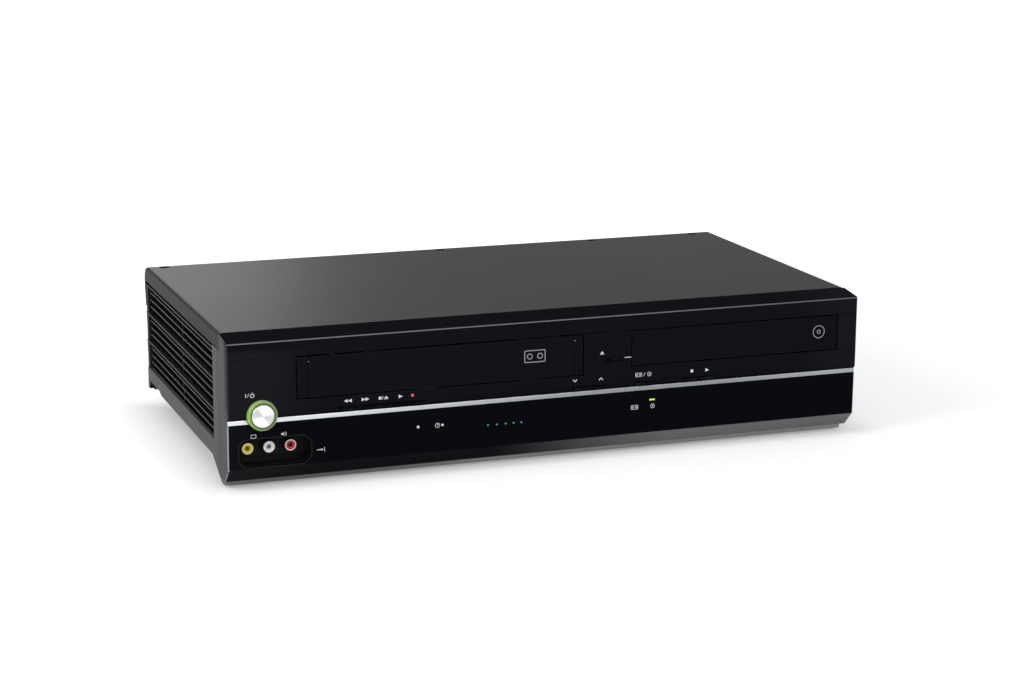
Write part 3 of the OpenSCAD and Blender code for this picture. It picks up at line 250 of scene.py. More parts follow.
def shade(mesh):
    """Smooth on small or narrow faces that turn gently to a neighbour, and flat elsewhere, so that flats
    stay flat. Narrow: more than three sides, and 2 * area / perimeter under the limit."""
    mesh.set_sharp_from_angle(angle=math.radians(GENTLE[1]))
    _, first, second, cosine = face_pairs(mesh)
    gentle = (cosine < cos(GENTLE[0])) & (cosine > cos(GENTLE[1]))
    curved = np.zeros(len(mesh.polygons), bool)
    curved[first[gentle]] = curved[second[gentle]] = True
    length = edge_lengths(mesh)[read(mesh.loops, "edge_index", kind=np.int32)]
    sides = read(mesh.polygons, "loop_total", kind=np.int32)
    area = read(mesh.polygons, "area")
    width = 2 * area / np.add.reduceat(length, read(mesh.polygons, "loop_start", kind=np.int32))
    narrow = (area < SMALL_FACE) | ((sides > 3) & (width < NARROW_FACE))
    mesh.polygons.foreach_set("use_smooth", curved & narrow)


def mark_edges(mesh, turn, shortest):
    """Weight 1 on the edges to soften: longer than shortest, and with faces that turn by more than turn."""
    edge, _, _, cosine = face_pairs(mesh)
    weight = np.zeros(len(mesh.edges), np.float32)
    weight[edge[cosine < cos(turn)]] = 1
    weight[edge_lengths(mesh) < shortest / 1000] = 0
    mesh.attributes.new("bevel_weight_edge", "FLOAT", "EDGE").data.foreach_set("value", weight)


SAME_POINT = 2e-6  # m
SAME_PLANE = math.radians(0.6)


def softened(node, radius, material, body="cabinet", slot=None, turn=28, shortest=1.0, whole=True):
    """A node's own shape, merged, with flat areas made whole if asked, and its long edges rounded."""
    mesh = NODES[node].data.copy()
    bm = bmesh.new()
    bm.from_mesh(mesh)
    bmesh.ops.remove_doubles(bm, verts=bm.verts, dist=SAME_POINT)
    if whole:
        bmesh.ops.dissolve_limit(bm, angle_limit=SAME_PLANE, verts=bm.verts, edges=bm.edges)
    bm.to_mesh(mesh)
    bm.free()
    mark_edges(mesh, turn, shortest)
    obj = placed(node + "_finished", mesh)
    dress(obj, material, body, slot, (node,))
    shade(mesh)
    soft = obj.modifiers.new("softened edges", "BEVEL")
    soft.limit_method = "WEIGHT"
    soft.width = radius / 1000
    soft.segments = 2
    soft.use_clamp_overlap = False
    return obj


# ---------- finishes ----------


class Bench:
    """Short words for laying out a node tree."""

    def __init__(self, tree):
        self.tree = tree
        self.count = 0

    def node(self, kind, wires=None, **settings):
        """A node with its settings, and its inputs joined or set."""
        n = self.tree.nodes.new(kind)
        n.location = (200 * (self.count % 8), -220 * (self.count // 8))
        self.count += 1
        for key, value in settings.items():
            setattr(n, key, value)
        for key, value in (wires or {}).items():
            if isinstance(value, bpy.types.NodeSocket):
                self.join(value, n.inputs[key])
            else:
                n.inputs[key].default_value = value
        return n

    def sum(self, operation, a, b=0.0, c=0.0, clamp=False):
        """One step of arithmetic."""
        n = self.node("ShaderNodeMath", {0: a, 1: b, 2: c}, operation=operation, use_clamp=clamp)
        return n.outputs[0]

    def vector(self, operation, a, b):
        """One step of arithmetic on a vector, with another vector or, to scale it, with a number."""
        key = "Scale" if operation == "SCALE" else 1
        return self.node("ShaderNodeVectorMath", {0: a, key: b}, operation=operation).outputs[0]

    def join(self, value, socket):
        """Leads a value to a socket."""
        self.tree.links.new(value, socket)

    def blend(self, share, a, b):
        """Colour a changed towards colour b by a share."""
        return self.node("ShaderNodeMix", {0: share, 6: a, 7: b}, data_type="RGBA").outputs[2]

    def step(self, value, low, high, a=0.0, b=1.0):
        """a below low, b above high, and a smooth change between."""
        wires = {0: value, 1: low, 2: high, 3: a, 4: b}
        return self.node("ShaderNodeMapRange", wires, interpolation_type="SMOOTHSTEP").outputs[0]

    def fall(self, value, low, high):
        """1 below low, 0 above high, and a smooth fall between."""
        return self.step(value, low, high, 1.0, 0.0)

    def near(self, value, centre, half, soft):
        """1 within half of centre, falling to 0 over soft."""
        return self.fall(self.sum("ABSOLUTE", self.sum("SUBTRACT", value, centre)), half, half + soft)

    def both(self, *masks):
        """The product of masks: 1 where all of them are."""
        return functools.reduce(lambda a, b: self.sum("MULTIPLY", a, b), masks)

    def either(self, *masks):
        """The largest of masks."""
        return functools.reduce(lambda a, b: self.sum("MAXIMUM", a, b), masks)

    def place(self):
        """Object coordinates, in metres."""
        return self.node("ShaderNodeTexCoord").outputs["Object"]

    def away(self, point):
        """The place as x, y and z in millimetres, from a point in metres."""
        return self.axes(self.vector("SCALE", self.vector("SUBTRACT", self.place(), point), 1000.0))

    def spot(self, centre=(0, 0, 0)):
        """The place as x, y and z from a centre, in the shapes' millimetres."""
        return self.away(at(centre).tolist())

    def facing_up(self, low, high):
        """0 where the normal's z is below low, 1 above high."""
        return self.step(self.axes(self.node("ShaderNodeTexCoord").outputs["Normal"])["Z"], low, high)

    def radius(self, a, b):
        """Distance from an axis: the square root of a squared + b squared."""
        across = self.node("ShaderNodeCombineXYZ", {0: a, 1: b}).outputs[0]
        return self.node("ShaderNodeVectorMath", {0: across}, operation="LENGTH").outputs["Value"]

    def axes(self, vector):
        """The three parts of a vector."""
        return self.node("ShaderNodeSeparateXYZ", {0: vector}).outputs

    def noise(self, scale, detail, rough, vector=None, stretch=None):
        """Cloudy noise, its cells per metre given by scale, squeezed by stretch."""
        vector = vector or self.place()
        if stretch:
            vector = self.node("ShaderNodeMapping", {0: vector, 3: stretch}).outputs[0]
        wires = {"Vector": vector, "Scale": scale, "Detail": detail, "Roughness": rough}
        return self.node("ShaderNodeTexNoise", wires).outputs[0]


def cleared(holder):
    """A bench on the emptied node tree of a material or a world."""
    holder.use_nodes = True
    holder.node_tree.nodes.clear()
    return Bench(holder.node_tree)


def effect(name, inputs, outputs):
    """An empty node group that takes named numbers and vectors and puts out named numbers."""
    group = bpy.data.node_groups.new(name, "ShaderNodeTree")
    for key, value in inputs.items():
        kind = "NodeSocketFloat" if isinstance(value, float) else "NodeSocketVector"
        group.interface.new_socket(key, in_out="INPUT", socket_type=kind).default_value = value
    for key in outputs:
        group.interface.new_socket(key, in_out="OUTPUT", socket_type="NodeSocketFloat")
    bench = Bench(group)
    return group, bench, bench.node("NodeGroupInput").outputs, bench.node("NodeGroupOutput").inputs


def fine_grain():
    """Height = fine noise + a third of coarser noise; Speck = sparse bright points of the fine noise."""
    group, b, i, o = effect("fine grain", {"Scale": 1800.0}, ["Height", "Speck"])
    fine = b.noise(i["Scale"], 2.0, 0.6)
    coarse = b.noise(b.sum("MULTIPLY", i["Scale"], 0.22), 2.0, 0.5)
    b.join(b.sum("MULTIPLY_ADD", coarse, 0.33, fine), o["Height"])
    b.join(b.step(fine, 0.62, 0.78), o["Speck"])
    return group


def tone_drift():
    """Factor = 1 + amount * (slow noise - 0.5), the uneven tone of a moulded or sprayed surface."""
    group, b, i, o = effect("tone drift", {"Scale": 9.0, "Amount": 0.2}, ["Factor"])
    slow = b.noise(i["Scale"], 4.0, 0.6)
    b.join(b.sum("MULTIPLY_ADD", b.sum("SUBTRACT", slow, 0.5), i["Amount"], 1.0), o["Factor"])
    return group


def edge_wear():
    """Mask near the edges of a box: close falls from 1 to 0 over the width from the nearest side on each
    axis, and an edge is where two of the three are close, broken up by noise."""
    sizes = {"Low": (0.0, 0.0, 0.0), "High": (1.0, 1.0, 1.0), "Width": 0.0015}
    group, b, i, o = effect("edge wear", sizes, ["Mask"])
    here = b.place()
    least = b.vector("MINIMUM", b.vector("SUBTRACT", here, i["Low"]), b.vector("SUBTRACT", i["High"], here))
    close = [b.fall(d, 0.0, i["Width"]) for d in b.axes(least)]
    edge = b.either(*(b.both(close[k], close[(k + 1) % 3]) for k in range(3)))
    patchy = b.step(b.noise(140.0, 4.0, 0.65), 0.42, 0.72)
    b.join(b.sum("MULTIPLY", edge, patchy, clamp=True), o["Mask"])
    return group


def settled_dust():
    """Mask of dust on what faces up: (normal's z above 0.6) * patchy noise * amount."""
    group, b, i, o = effect("settled dust", {"Amount": 0.1}, ["Mask"])
    patchy = b.step(b.noise(26.0, 6.0, 0.7), 0.35, 0.8)
    b.join(b.both(b.facing_up(0.6, 0.95), patchy, i["Amount"]), o["Mask"])
    return group


def drawn_lines():
    """Lines = fine noise drawn out on the axes where the stretch is small."""
    group, b, i, o = effect("drawn lines", {"Scale": 300.0, "Stretch": (1.0, 1.0, 1.0)}, ["Lines"])
    b.join(b.noise(i["Scale"], 3.0, 0.6, stretch=i["Stretch"]), o["Lines"])
    return group


def zinc_spangle():
    """Grey = one random grey for each crystal of the zinc."""
    group, b, i, o = effect("zinc spangle", {"Scale": 160.0}, ["Grey"])
    cells = b.node("ShaderNodeTexVoronoi", {"Vector": b.place(), "Scale": i["Scale"]})
    b.join(b.node("ShaderNodeRGBToBW", {0: cells.outputs["Color"]}).outputs[0], o["Grey"])
    return group


def turned_rings():
    """Height = sin(2 pi (r + z) / pitch), by the distance r from an upright axis and z, in millimetres."""
    group, b, i, o = effect("turned rings", {"Axis": (0.0, 0.0, 0.0), "Pitch": 0.2}, ["Height"])
    x, y, z = b.away(i["Axis"])
    turns = b.sum("DIVIDE", b.sum("ADD", b.radius(x, y), z), i["Pitch"])
    b.join(b.sum("SINE", b.sum("MULTIPLY", turns, 2 * math.pi)), o["Height"])
    return group


def board_tracks():
    """Tracks = 1 on the lines between staggered bricks; Pads = 0.7 on round pads, and 0 off them."""
    group, b, i, o = effect("board tracks", {"Tracks": 90.0, "Pads": 240.0}, ["Tracks", "Pads"])
    here = b.place()
    bricks = b.node("ShaderNodeTexBrick", {"Vector": here, "Scale": i["Tracks"], "Mortar Size": 0.03})
    cells = b.node("ShaderNodeTexVoronoi", {"Vector": here, "Scale": i["Pads"]})
    b.join(bricks.outputs["Fac"], o["Tracks"])
    b.join(b.step(cells.outputs["Distance"], 0.12, 0.2, 0.7, 0.0), o["Pads"])
    return group


def socket_zones():
    """Masks by the distance r from a socket's own axis and the depth from its mouth: the plated rim and the
    pin's hole, both only near the mouth, and the shell, far ahead of the rear sockets' inserts. They carry
    the rim's pale colour with a painted highlight, and painted shade in the hole and on the shell."""
    group, b, i, o = effect("socket zones", {"Mouth": (0.0, 0.0, 0.0)}, ["Rim", "Hole", "Shell"])
    x, y, z = b.away(i["Mouth"])
    r = b.radius(x, z)
    front = b.fall(y, 4, 5)
    b.join(b.both(b.step(r, 2.8, 3.1), front), o["Rim"])
    b.join(b.both(b.fall(r, 1.3, 1.7), front), o["Hole"])
    b.join(b.both(b.step(r, 3.5, 3.7), b.fall(y, 100, 200)), o["Shell"])
    return group


GRAIN, DRIFT, WEAR, DUST = fine_grain(), tone_drift(), edge_wear(), settled_dust()
LINES, SPANGLE, RINGS = drawn_lines(), zinc_spangle(), turned_rings()
TRACKS, ZONES = board_tracks(), socket_zones()


class Finish:
    """A material with a Principled shader, built up from a base colour by the shared effects."""

    def __init__(self, name, colour, rough, metallic=0.0, specular=0.5, coat=0.0, coat_rough=0.05):
        self.material = bpy.data.materials.new(name)
        self.material.diffuse_color = (*colour, 1)
        self.bench = cleared(self.material)
        look = {"Metallic": metallic, "Specular IOR Level": specular,
                "Coat Weight": coat, "Coat Roughness": coat_rough}
        self.shader = self.bench.node("ShaderNodeBsdfPrincipled", look)
        self.bench.node("ShaderNodeOutputMaterial", {0: self.shader.outputs[0]})
        self.colour = self.bench.node("ShaderNodeRGB").outputs[0]
        self.colour.default_value = (*colour, 1)
        self.rough = rough
        self.height = None

    def group(self, tree, **wires):
        """A shared effect's outputs, with this material's own values."""
        n = self.bench.node("ShaderNodeGroup", node_tree=tree)
        for key, value in wires.items():
            n.inputs[key].default_value = value
        return n.outputs

    def drift(self, scale, amount):
        """Multiplies the colour and the roughness by a slow change of tone."""
        factor = self.group(DRIFT, Scale=scale, Amount=amount)["Factor"]
        self.colour = self.bench.vector("SCALE", self.colour, factor)
        self.rough = self.bench.sum("MULTIPLY", self.rough, factor)
        return self

    def grain(self, scale, depth, speck=0.0, tint=None):
        """Adds a fine grain to the surface and, if a share is given, its sparse specks to the colour."""
        out = self.group(GRAIN, Scale=scale)
        self.height = (out["Height"], depth)
        return self.stain(out["Speck"], tint, speck) if speck else self

    def wear(self, node, width, tint, amount):
        """Rubs the edges of a node's box towards a lighter tint."""
        low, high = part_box(node)
        return self.stain(self.group(WEAR, Low=low, High=high, Width=width / 1000)["Mask"], tint, amount)

    def dust(self, amount):
        """Lays a little dust on what faces up, which also dulls it."""
        mask = self.group(DUST, Amount=amount)["Mask"]
        self.rough = self.bench.sum("ADD", self.rough, self.bench.sum("MULTIPLY", mask, 0.6), clamp=True)
        return self.stain(mask, (0.42, 0.41, 0.39))

    def stain(self, mask, tint, share=1.0):
        """Changes the colour by a share towards a tint where the mask says."""
        if share != 1.0:
            mask = self.bench.sum("MULTIPLY", mask, share)
        self.colour = self.bench.blend(mask, self.colour, (*tint, 1))
        return self

    def lit(self, strength):
        """Gives off light of its own colour."""
        self.bench.join(self.colour, self.shader.inputs["Emission Color"])
        self.shader.inputs["Emission Strength"].default_value = strength
        return self

    def done(self):
        """Joins colour, roughness and surface height to the shader."""
        b, sockets = self.bench, self.shader.inputs
        b.join(self.colour, sockets["Base Color"])
        b.join(self.rough, sockets["Roughness"])
        if self.height:
            value, depth = self.height
            bump = b.node("ShaderNodeBump", {"Height": value, "Distance": depth / 1000, "Strength": 1.0})
            b.join(bump.outputs[0], sockets["Normal"])
        return self.material


def cover_paint():
    """Satin charcoal paint on sheet metal, with a faint orange-peel surface and rubbed folds."""
    f = Finish("satin charcoal paint", (0.0105, 0.0107, 0.0114), 0.40, specular=0.024)
    f.drift(5.0, 0.12).grain(1500.0, 0.006, 0.05, (0.05, 0.05, 0.05))
    f.wear("top_cover", 0.6, (0.022, 0.022, 0.023), 0.3).dust(0.01)
    return f.done()


def cabinet_plastic():
    """Charcoal moulding with a fine eroded grain, and painted shade inside the side faces, on what faces
    up in the louvre field, and on the strip behind the louvres: the mask is the largest of those three."""
    f = Finish("grained charcoal moulding", (0.080, 0.084, 0.089), 0.56, specular=0.12)
    f.drift(7.0, 0.15).grain(2400.0, 0.015, 0.10, (0.12, 0.125, 0.13))
    f.wear("main_chassis", 1.6, (0.17, 0.17, 0.17), 0.35)
    b = f.bench
    x, y, z = b.spot()
    out = b.sum("ABSOLUTE", x)
    inside = b.fall(out, 214.9, 215.4)
    field = b.both(b.facing_up(0.5, 0.8), b.step(z, 27.0, 27.5))
    strip = b.both(b.step(y, 237.2, 237.6), b.fall(out, 217.15, 217.4))
    # painted shade inside the side faces, on upward faces in the louvre field, and behind the louvres
    f.stain(b.either(inside, field, strip), (0.004, 0.004, 0.005))
    return f.done()


def front_painted_light(f):
    """The front moulding's painted light and shade by place, and its gloss on the rounded top edge, the
    upright corners and the foot's lip. The stains are painted sheen, painted light on the side faces,
    painted highlights on the edges and painted reflections on the foot and its lip. Each mask is a
    product of smooth steps on width, depth and height."""
    b = f.bench
    x, y, z = b.spot()
    out = b.sum("ABSOLUTE", x)
    left = b.both(b.fall(x, -200, -150), b.fall(z, 89, 94))
    top = b.both(b.near(z, 96.3, 0.2, 0.2), b.fall(y, 1.0, 1.4))
    corner = b.both(b.step(out, 216.8, 217.3), b.fall(y, 0.6, 1.2))
    lip = b.fall(z, 5.0, 6.2)
    foot = b.both(b.fall(z, 15.0, 15.6), b.step(x, -50, 100))
    # the side faces get painted light, with painted shade towards the front above the silver strip
    dim = b.both(b.step(y, 1, 11, 0.75, 0.0), b.step(z, 40, 60))
    side = b.both(b.step(out, 217.0, 217.4), b.sum("MULTIPLY_ADD", dim, -0.6, 0.6))
    # two painted highlight lines: the foot's slanting edge, and the upright edge beside the window
    slant = b.both(
        b.near(b.sum("ADD", y, z), 18.0, 0.5, 0.3), b.near(z, 9.5, 4.0, 0.5), b.step(x, -216.5, -216.9)
    )
    upright = b.both(
        b.step(z, 12.8, 13.5), b.fall(z, 44.0, 44.4),
        b.step(x, -216.3, -216.6), b.fall(y, 3.0, 3.4),
    )
    # painted light: sheen right and upper left, lit side faces, edge highlights, foot and lip reflections
    f.stain(b.step(x, 160, 210), (0.0100, 0.0112, 0.0155))
    f.stain(left, (0.0130, 0.0135, 0.0168))
    f.stain(side, (0.20, 0.202, 0.212))
    f.stain(slant, (0.42, 0.425, 0.44), 0.8)
    f.stain(foot, (0.28, 0.283, 0.29), 0.9)
    f.stain(upright, (0.50, 0.505, 0.53), 0.9)
    f.stain(top, (0.16, 0.16, 0.168), 0.8)
    f.stain(corner, (0.12, 0.12, 0.125), 0.6)
    f.stain(lip, (0.16, 0.163, 0.17), 0.9)
    f.stain(b.both(lip, b.step(x, -140, -20)), (0.31, 0.315, 0.325))
    coat = b.either(b.both(top, 0.8), lip, corner, b.step(z, 95.5, 95.8, 0.05, 0.012))
    b.join(coat, f.shader.inputs["Coat Weight"])


def front_black(name, node, colour=(0.0059, 0.0063, 0.0094), painted_light=False):
    """Polished black moulding, with the front's painted light and shade if asked."""
    f = Finish(name, colour, 0.12, specular=0.0, coat=0.05, coat_rough=0.08)
    f.drift(11.0, 0.25).grain(900.0, 0.0008).wear(node, 0.5, (0.03, 0.03, 0.034), 0.5)
    if painted_light:
        front_painted_light(f)
    return f.done()


def window_smoke():
    """Smoked display window: near black with a breath of blue, paler at its left end by a painted sheen,
    and faintly wiped.
    """
    f = Finish("smoked window", (0.0024, 0.0028, 0.0048), 0.06, specular=0.0, coat=0.04)
    b = f.bench
    # painted sheen: paler towards the left end
    f.stain(b.fall(b.spot()["X"], -217, -180), (0.0058, 0.0068, 0.0105))
    wiped = b.noise(60.0, 5.0, 0.7, stretch=(1.0, 1.0, 6.0))
    f.rough = b.step(wiped, 0.3, 0.8, 0.05, 0.12)
    f.drift(6.0, 0.3).wear("display_window", 0.7, (0.02, 0.02, 0.025), 0.6)
    return f.done()


def trim_silver():
    """Satin aluminium strip, brushed along its length, and darker to the right by painted shade."""
    f = Finish("brushed silver strip", (0.73, 0.75, 0.80), 0.34, metallic=1.0)
    b = f.bench
    x = b.spot()["X"]
    # painted shade: darker to the right, and a little less dark again at the right end
    f.stain(b.step(x, -240, 60), (0.25, 0.26, 0.285))
    f.stain(b.step(x, 120, 200), (0.32, 0.335, 0.36))
    lines = f.group(LINES, Scale=900.0, Stretch=(0.02, 1.0, 1.0))["Lines"]
    f.drift(4.0, 0.08)
    f.rough = b.step(lines, 0.2, 0.8, 0.28, 0.42)
    f.height = (lines, 0.004)
    f.wear("trim_bar", 0.5, (0.8, 0.8, 0.82), 0.6)
    return f.done()


def spun_silver(node):
    """Spun cap: rings of height by distance r from the node's middle, two sectors opposite each other
    darkened by painted shade of the spun face's reflection, and a roughness that changes with r."""
    f = Finish("spun silver cap", (0.86, 0.86, 0.86), 0.28, metallic=1.0)
    b = f.bench
    x, _, z = b.spot(middle(node))
    r = b.radius(x, z)
    rings = b.sum("SINE", b.sum("MULTIPLY", r, 14.0))
    along = b.node("ShaderNodeCombineXYZ", {0: b.sum("MULTIPLY", r, 5.2)}).outputs[0]
    fine = b.noise(1.0, 3.0, 0.6, vector=along)
    f.drift(30.0, 0.05)
    # painted shade of the spun face's reflection, darker in two opposite sectors
    turn = b.sum("COSINE", b.sum("MULTIPLY_ADD", b.sum("ARCTAN2", z, x), 2.0, 0.9))
    f.stain(b.step(turn, 0.0, 1.0, 0.0, 0.7), (0.46, 0.48, 0.47))
    f.rough = b.step(fine, 0.2, 0.8, 0.2, 0.38)
    f.height = (b.sum("MULTIPLY_ADD", rings, 0.25, fine), 0.006)
    return f.done()


def lit_green(node):
    """Lit translucent ring: dark near the cap, green in the middle and pale towards its rim, by distance
    from the node's middle, and greener to the left by painted light."""
    f = Finish("lit green ring", (0.10, 0.17, 0.05), 0.2, specular=0.3, coat=0.4)
    b = f.bench
    x, _, z = b.spot(middle(node))
    r = b.radius(x, z)
    f.stain(b.step(r, 7.7, 8.4), (0.13, 0.23, 0.055))
    f.stain(b.step(r, 8.7, 9.3), (0.36, 0.50, 0.20))
    # painted light: the ring greener and brighter on its left side
    f.stain(b.step(x, -9, -2, 0.6, 0.0), (0.30, 0.52, 0.06))
    return f.drift(80.0, 0.2).lit(0.2).done()


def lighter(colour, times, plus):
    """A colour times a number plus a number, at most 1."""
    return tuple(min(1.0, c * times + plus) for c in colour)


def simple(name, colour, rough, metallic=0.0, specular=0.5, scale=1600.0, depth=0.01, drift=0.15, coat=0.0,
           node=None):
    """A plain finish with its own grain, tone and, for a named node, rubbed edges."""
    f = Finish(name, colour, rough, metallic, specular, coat)
    f.drift(12.0, drift).grain(scale, depth, 0.06, lighter(colour, 1.5, 0.02))
    if node:
        f.wear(node, 0.8, lighter(colour, 1.6, 0.05), 0.5)
    return f.done()


def socket_plastic(name, colour, pale, node):
    """A socket's plastic: the insert's colour, and on a front socket a pale rim with a painted highlight
    and painted shade in the hole and on the shell.
    """
    f = Finish(name, colour, 0.3, coat=0.2)
    f.drift(12.0, 0.1).grain(2600.0, 0.006)
    mouth = middle(node)
    mouth[1] = corners(node)[0][1]
    zones = f.group(ZONES, Mouth=at(mouth).tolist())
    # pale rim: the plated rim's colour with a painted highlight; dark hole and dark shell: painted shade
    f.stain(zones["Rim"], pale)
    f.stain(zones["Hole"], tuple(0.1 * c for c in colour), 0.8)
    f.stain(zones["Shell"], (0.012, 0.012, 0.013))
    return f.done()


def lamp_glow(name, colour, strength):
    """A small lit mark, a little uneven."""
    return Finish(name, colour, 0.4, specular=0.3).drift(400.0, 0.2).lit(strength).done()


def turned_metal(name, colour, rough, node, pitch=0.22):
    """Metal turned about a node's upright axis."""
    f = Finish(name, colour, rough, metallic=1.0)
    axis = middle(node)
    axis[2] = 0
    f.drift(25.0, 0.08)
    f.height = (f.group(RINGS, Axis=at(axis).tolist(), Pitch=pitch)["Height"], 0.004)
    return f.done()


def sheet_steel(name, colour, rough):
    """Rolled and zinc plated sheet: long faint rolling lines and a spangle, and black next to the front
    by painted shade.
    """
    f = Finish(name, colour, rough, metallic=1.0)
    b = f.bench
    lines = f.group(LINES, Scale=300.0, Stretch=(1.0, 0.05, 1.0))["Lines"]
    f.drift(15.0, 0.12)
    f.stain(f.group(SPANGLE, Scale=160.0)["Grey"], (0.9, 0.9, 0.92), 0.12)
    f.rough = b.step(lines, 0.2, 0.8, rough - 0.06, rough + 0.08)
    # painted shade: black next to the front, where the sheet shows through the front's gaps
    f.stain(b.fall(b.spot()["Y"], 35, 50), (0.008, 0.008, 0.008))
    f.height = (lines, 0.005)
    return f.done()


def circuit_board(name, colour, copper):
    """Lacquered board: brick-like tracks under the lacquer, and pads at their ends."""
    f = Finish(name, colour, 0.42, specular=0.5, coat=0.2)
    board = f.group(TRACKS, Tracks=90.0, Pads=240.0)
    f.drift(20.0, 0.2)
    f.stain(board["Tracks"], copper, 0.55)
    f.stain(board["Pads"], (0.55, 0.56, 0.57))
    f.height = (board["Tracks"], 0.02)
    return f.done()


paint = cover_paint()
moulding = cabinet_plastic()
gloss = front_black("polished black front", "front_bezel", painted_light=True)
door_gloss = front_black("polished black door", "tape_door", (0.0060, 0.0066, 0.0106))
panel_gloss = front_black("polished black tray panel", "tray_panel", (0.0056, 0.0060, 0.0095))
key_gloss = front_black("polished black keys", "play_key", (0.0030, 0.0032, 0.0046))
# lighter than the other polished blacks: a painted highlight on the recess rim
rim_gloss = front_black("polished black recess rim", "socket_block", (0.02, 0.02, 0.022))
smoke = window_smoke()
silver = trim_silver()
cap_silver = spun_silver("power_button")
ring_green = lit_green("power_button")
rubber = simple("moulded rubber", (0.018, 0.018, 0.018), 0.75, scale=2600.0, depth=0.03, specular=0.3)
screw_black = simple("blackened screws", (0.05, 0.05, 0.052), 0.35, 1.0, scale=1200.0)
panel_paint = simple(
    "black panel paint", (0.016, 0.016, 0.017), 0.5, specular=0.4, scale=1400.0, node="rear_panel")
socket_black = simple(
    "matt black socket moulding", (0.010, 0.010, 0.011), 0.55, specular=0.1, scale=2200.0)
socket_yellow = socket_plastic(
    "yellow socket insert", (0.80, 0.62, 0.02), (0.95, 0.90, 0.45), "video_socket")
socket_white = socket_plastic(
    "white socket insert", (0.85, 0.85, 0.86), (0.96, 0.96, 0.98), "left_audio_socket")
socket_red = socket_plastic(
    "red socket insert", (0.52, 0.015, 0.03), (0.95, 0.78, 0.78), "right_audio_socket")
socket_green = simple("green socket insert", (0.04, 0.30, 0.07), 0.3, scale=2600.0, coat=0.2)
socket_blue = simple("blue socket insert", (0.03, 0.09, 0.42), 0.3, scale=2600.0, coat=0.2)
socket_orange = simple("orange socket insert", (0.62, 0.20, 0.03), 0.3, scale=2600.0, coat=0.2)
board_tan = circuit_board("brown phenolic board", (0.040, 0.024, 0.010), (0.07, 0.045, 0.018))
board_green = circuit_board("green lacquered board", (0.02, 0.10, 0.04), (0.06, 0.20, 0.08))
tray_black = simple("grained black tray", (0.020, 0.020, 0.022), 0.45, specular=0.4, scale=2600.0,
                    depth=0.02, node="disc_tray")
loader_grey = simple("dark grey loader moulding", (0.045, 0.047, 0.050), 0.5, scale=1900.0)
bridge_steel = sheet_steel("plated bridge sheet", (0.58, 0.59, 0.60), 0.34)
deck_steel = sheet_steel("plated deck sheet", (0.50, 0.51, 0.52), 0.38)
acetal = simple("natural acetal", (0.72, 0.70, 0.64), 0.4, scale=1500.0)
turn_black = simple("moulded turntable", (0.03, 0.03, 0.032), 0.45, scale=2000.0)
motor_steel = sheet_steel("bright motor can", (0.66, 0.67, 0.68), 0.26)
drum_metal = turned_metal("diamond turned drum", (0.78, 0.79, 0.80), 0.18, "upper_drum")
capstan_metal = turned_metal("turned capstan", (0.74, 0.75, 0.76), 0.2, "capstan", 0.3)
roller_rubber = simple(
    "ground rubber roller", (0.02, 0.02, 0.021), 0.7, specular=0.3, scale=3000.0, depth=0.02)
brass = turned_metal("turned brass", (0.62, 0.44, 0.16), 0.24, "left_tape_guide", 0.4)
plated = turned_metal("bright plated shell", (0.58, 0.58, 0.60), 0.26, "antenna_sockets", 0.5)
PRINT = {"scale": 3500.0, "depth": 0.002, "drift": 0.06}
mark_white = simple("printed white", (0.94, 0.94, 0.94), 0.5, **PRINT)
mark_grey = simple("printed grey", (0.42, 0.43, 0.45), 0.5, **PRINT)
mark_red = simple("printed red", (0.80, 0.13, 0.15), 0.5, **PRINT)
lamp_teal = lamp_glow("teal pilot light", (0.02, 0.22, 0.26), 0.7)
lamp_lime = lamp_glow("lime pilot light", (0.42, 0.62, 0.05), 0.9)
# a near-black sheet behind the louvres that paints shade into their slots
felt = simple("black louvre shade sheet", (0.004, 0.004, 0.0045), 0.9, specular=0.0, scale=2200.0, depth=0.03)

# ---------- cabinet ----------

softened("top_cover", 0.35, paint, slot="cover_paint", shortest=1.5)
softened("main_chassis", 0.22, moulding, slot="cabinet_plastic", shortest=2.5)
softened("front_bezel", 0.3, gloss, slot="bezel_gloss", shortest=4.0, whole=False)
softened("display_window", 0.2, smoke, slot="window_smoke")
softened("trim_bar", 0.35, silver, slot="trim_silver")
softened("feet", 0.5, rubber, slot="foot_rubber", turn=40)
softened("rear_panel", 0.15, panel_paint, slot="panel_paint", shortest=2.0)
softened("tape_door", 0.25, door_gloss, "tape_door", "bezel_gloss", shortest=2.0)
softened("tray_panel", 0.35, panel_gloss, "disc_tray", "bezel_gloss", shortest=2.0)
softened("disc_tray", 0.3, tray_black, "disc_tray", "tray_plastic", shortest=2.0)
softened("socket_block", 0.2, socket_black, slot="socket_black", shortest=2.0)
rear_block = softened("rear_sockets", 0.25, socket_black, slot="socket_black", turn=40)
softened("power_inlet", 0.3, socket_black, slot="socket_black")
softened("antenna_sockets", 0.3, plated, slot="antenna_metal", turn=40)
for key in [k for k in frame["bodies"] if k.endswith("_key")]:
    softened(key, 0.22, key_gloss, key, "key_gloss")

# ---------- power button and front sockets ----------


def turned(name, node, profile, material, body="cabinet", slot=None, n=96, ring=True):
    """A turned piece in place of a node, about the node's own axis. The profile is worked out from the
    node's radius and depth, as (radius, distance behind the node's front)."""
    low, high = corners(node)
    centre = middle(node)
    centre[1] = low[1]
    points = [(r, -d) for r, d in profile((high[0] - low[0]) / 2, high[1] - low[1])]
    return add(name, lathe(points, centre, n, ring), material, 50, body, slot, (node,))


def cap_profile(r, deep):
    """A dished face inside a flat rim, a rounded edge, a short skirt and the stem."""
    return [(0.02, 0.22), (2.4, 0.2), (4.8, 0.12), (6.1, 0), (6.5, 0), (6.8, 0.05), (7.05, 0.2), (r, 0.55),
            (r, deep - 4.2), (2.0, deep - 4.1), (2.0, deep)]


